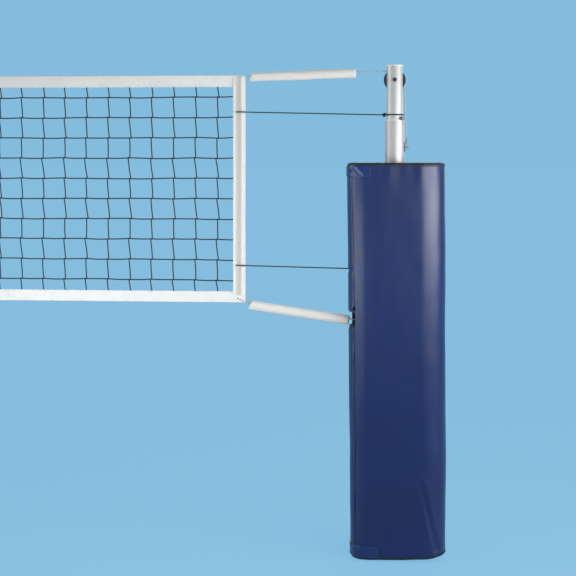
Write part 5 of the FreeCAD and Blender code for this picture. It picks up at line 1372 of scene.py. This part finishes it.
for side_name, left in SIDES:
    for level, net_z, post_z, post_r, side_y in (
        ("upper", 2.067, 2.052, 0.0381, 0.0), ("lower", 1.346, 1.330, 0.04445, 0.0025),
    ):
        front, behind = [Vector((EYELET_X, y, net_z)) for y in (-0.0129, 0.0100)]
        knot = Vector((-(post_r + CLEAR + KNOT_AWAY), side_y, post_z))
        run = joined_paths(line(behind, (EYELET_X, -0.006, net_z), 3),
                           rounded_corner(behind, front, knot, EYELET_BEND, 6),
                           line(front.lerp(knot, 0.01), knot, 30))
        pieces = [tube(name, stand_path(path, left), radius, "cord_black", closed=closed)
                  for name, path, radius, closed in (
                      ("run", run, CORD_R - 0.0004, False),
                      ("stop", knot_path(behind, 0.0015, 0.4), STOP_CORD_R, True),
                      ("knot", knot_path(knot, 0.0028, 1.2), KNOT_CORD_R, True),
                      ("loop", post_loop(post_r, post_z), CORD_R, False))]
        tie = merged(f"{side_name}_{level}_tie", pieces, "cord_black", "mast_and_net" if level == "upper" else None)
        if level == "lower":
            blend_to_post(tie, (-0.70, 0, 1.346), (-0.10, 0, 1.33), left)
        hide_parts(f"{level}_ties")
print("ties ready")

# %% [markdown]
# Sewing holds all the cloth together, and its stitches are what the eye reads as cloth up close. One Geometry
# Nodes tree makes every row: it turns a polyline into a curve, puts a point at each pitch, and stands a short
# thread at each point along the curve's tangent. The rows themselves are lines drawn on the tapes, the bands and
# the pads' covers. Each body gets one piece for each kind of thread.

# %% Stitch tree
def stitch_rows(name, lines, finish, body, pitch, length, radius=0.0006):
    """Sew along every line and keep the threads as one plain piece."""
    sizes = {"Pitch": pitch, "Thread length": length, "Thread radius": radius}
    graph, inputs = geometry_tree(name, sizes)
    rows = graph.node("GeometryNodeMeshToCurve", {"Mesh": inputs["Geometry"]})
    spots = graph.node("GeometryNodeResampleCurve", {"Curve": rows, "Length": inputs["Pitch"]}, mode="LENGTH")
    turn = graph.node("FunctionNodeAlignRotationToVector", {"Vector": graph.node("GeometryNodeInputTangent")},
                      axis="Z")
    thread = graph.node("GeometryNodeMeshCylinder", {
        "Vertices": 5, "Radius": inputs["Thread radius"], "Depth": inputs["Thread length"]}, fill_type="NGON")
    threads = graph.node("GeometryNodeInstanceOnPoints", {"Points": spots, "Instance": thread, "Rotation": turn})
    points, edges = [], []
    for path in lines:
        edges += [(len(points) + i, len(points) + i + 1) for i in range(len(path) - 1)]
        points += [tuple(point) for point in path]
    mesh = bpy.data.meshes.new(name)
    mesh.from_pydata(points, edges, [])
    piece = grown(name, graph, threads, sizes, mesh, finish, body)
    print(name, "faces:", len(piece.data.polygons))


# %% Rows on the tapes and bands
TAPE_FACE = SKIRT_Y + TAPE_THICK / 2 + 0.0004
BAND_ROWS = ((-0.0560, SKIRT_Y), (-0.0450, SKIRT_Y), (-0.0085, 0.0034), (-0.0040, 0.0021))
STITCH_OUT, ROW_IN = 0.0009, 0.004
for name, heights in (("top_tape_stitches", (2.2275, 2.189)), ("bottom_tape_stitches", (1.182, 1.218))):
    rows = [[(FAR_END + 0.062, face, z), (-NET_END - 0.062, face, z)]
            for z in heights for face in (-TAPE_FACE, TAPE_FACE)]
    stitch_rows(name, rows, "thread_white", "mast_and_net", pitch=0.008, length=0.0055)

for side_name, left in SIDES:
    rows = []
    for x, layer_y in BAND_ROWS:
        for sign in (-1, 1):
            out = Vector((0, sign * STITCH_OUT * (-1 if left else 1), 0))
            rows.append([band_point(Vector((x, sign * layer_y)), z, left) + out for z in band_stations[1:-1]])
    for z in (BAND_LOW + ROW_IN, TAPE_EDGES[0] - ROW_IN, TAPE_EDGES[1] + ROW_IN, BAND_HIGH - ROW_IN):
        rows += [[stand((x - NET_END, sign * (SKIRT_Y + OVER_TAPE + STITCH_OUT), z), left) for x in (-0.055, -0.032)]
                 for sign in (-1, 1)]
    stitch_rows(f"{side_name}_band_stitches", rows, "thread_white", "mast_and_net", pitch=0.006, length=0.0040)

# %% Rows on the pads
THREAD_CLEAR, STRAP_ROW_IN, BINDING_ROW_IN, FLAP_ROW_IN = 0.0003, 0.005, 0.0132, 0.006


def spaced(low, high, spacing=0.012):
    return between(low, high, max(2, int((high - low) / spacing)))


def strap_rows(low, high, reach, lift):
    """Once round the strap, a few millimetres inside its edge."""
    left_s, right_s = STRAP_BACK + STRAP_ROW_IN, reach - STRAP_ROW_IN
    low_z, high_z = low + STRAP_ROW_IN, high - STRAP_ROW_IN
    rows = [[(s, z) for s in spaced(left_s, right_s, 0.006)] for z in (low_z, high_z)]
    rows += [[(s, z) for z in spaced(low_z, high_z, 0.006)] for s in (left_s, right_s, right_s - 0.028)]
    return [(row, lambda s, z: lift(s, z) + STRAP_THICK + 0.0004) for row in rows]


pad_rows = [([(s, z) for s in spaced(SEAM_HALF, 2 * HALF_ROUND - SEAM_HALF)], lambda s, z: 0.0016)
            for z in (PAD_HIGH - BINDING_ROW_IN, PAD_LOW + BINDING_ROW_IN)]
pad_rows += [([(flap_edge(z) - FLAP_ROW_IN, z) for z in spaced(low + 0.004, high - 0.004)],
              lambda s, z: flap_lift(s, z) + FLAP_THICK + THREAD_CLEAR) for low, high in FLAP_PIECES]
for level, *strap in STRAPS:
    pad_rows += strap_rows(*strap)
for side_name, left in SIDES:
    lines = [[stand(cover(-s if left else s, z, PAD_SEEDS[side_name], lift(s, z)), left) for s, z in spots]
             for spots, lift in pad_rows]
    stitch_rows(f"{side_name}_pad_stitches", lines, "thread_navy", "posts", pitch=0.007, length=0.0046, radius=0.0005)
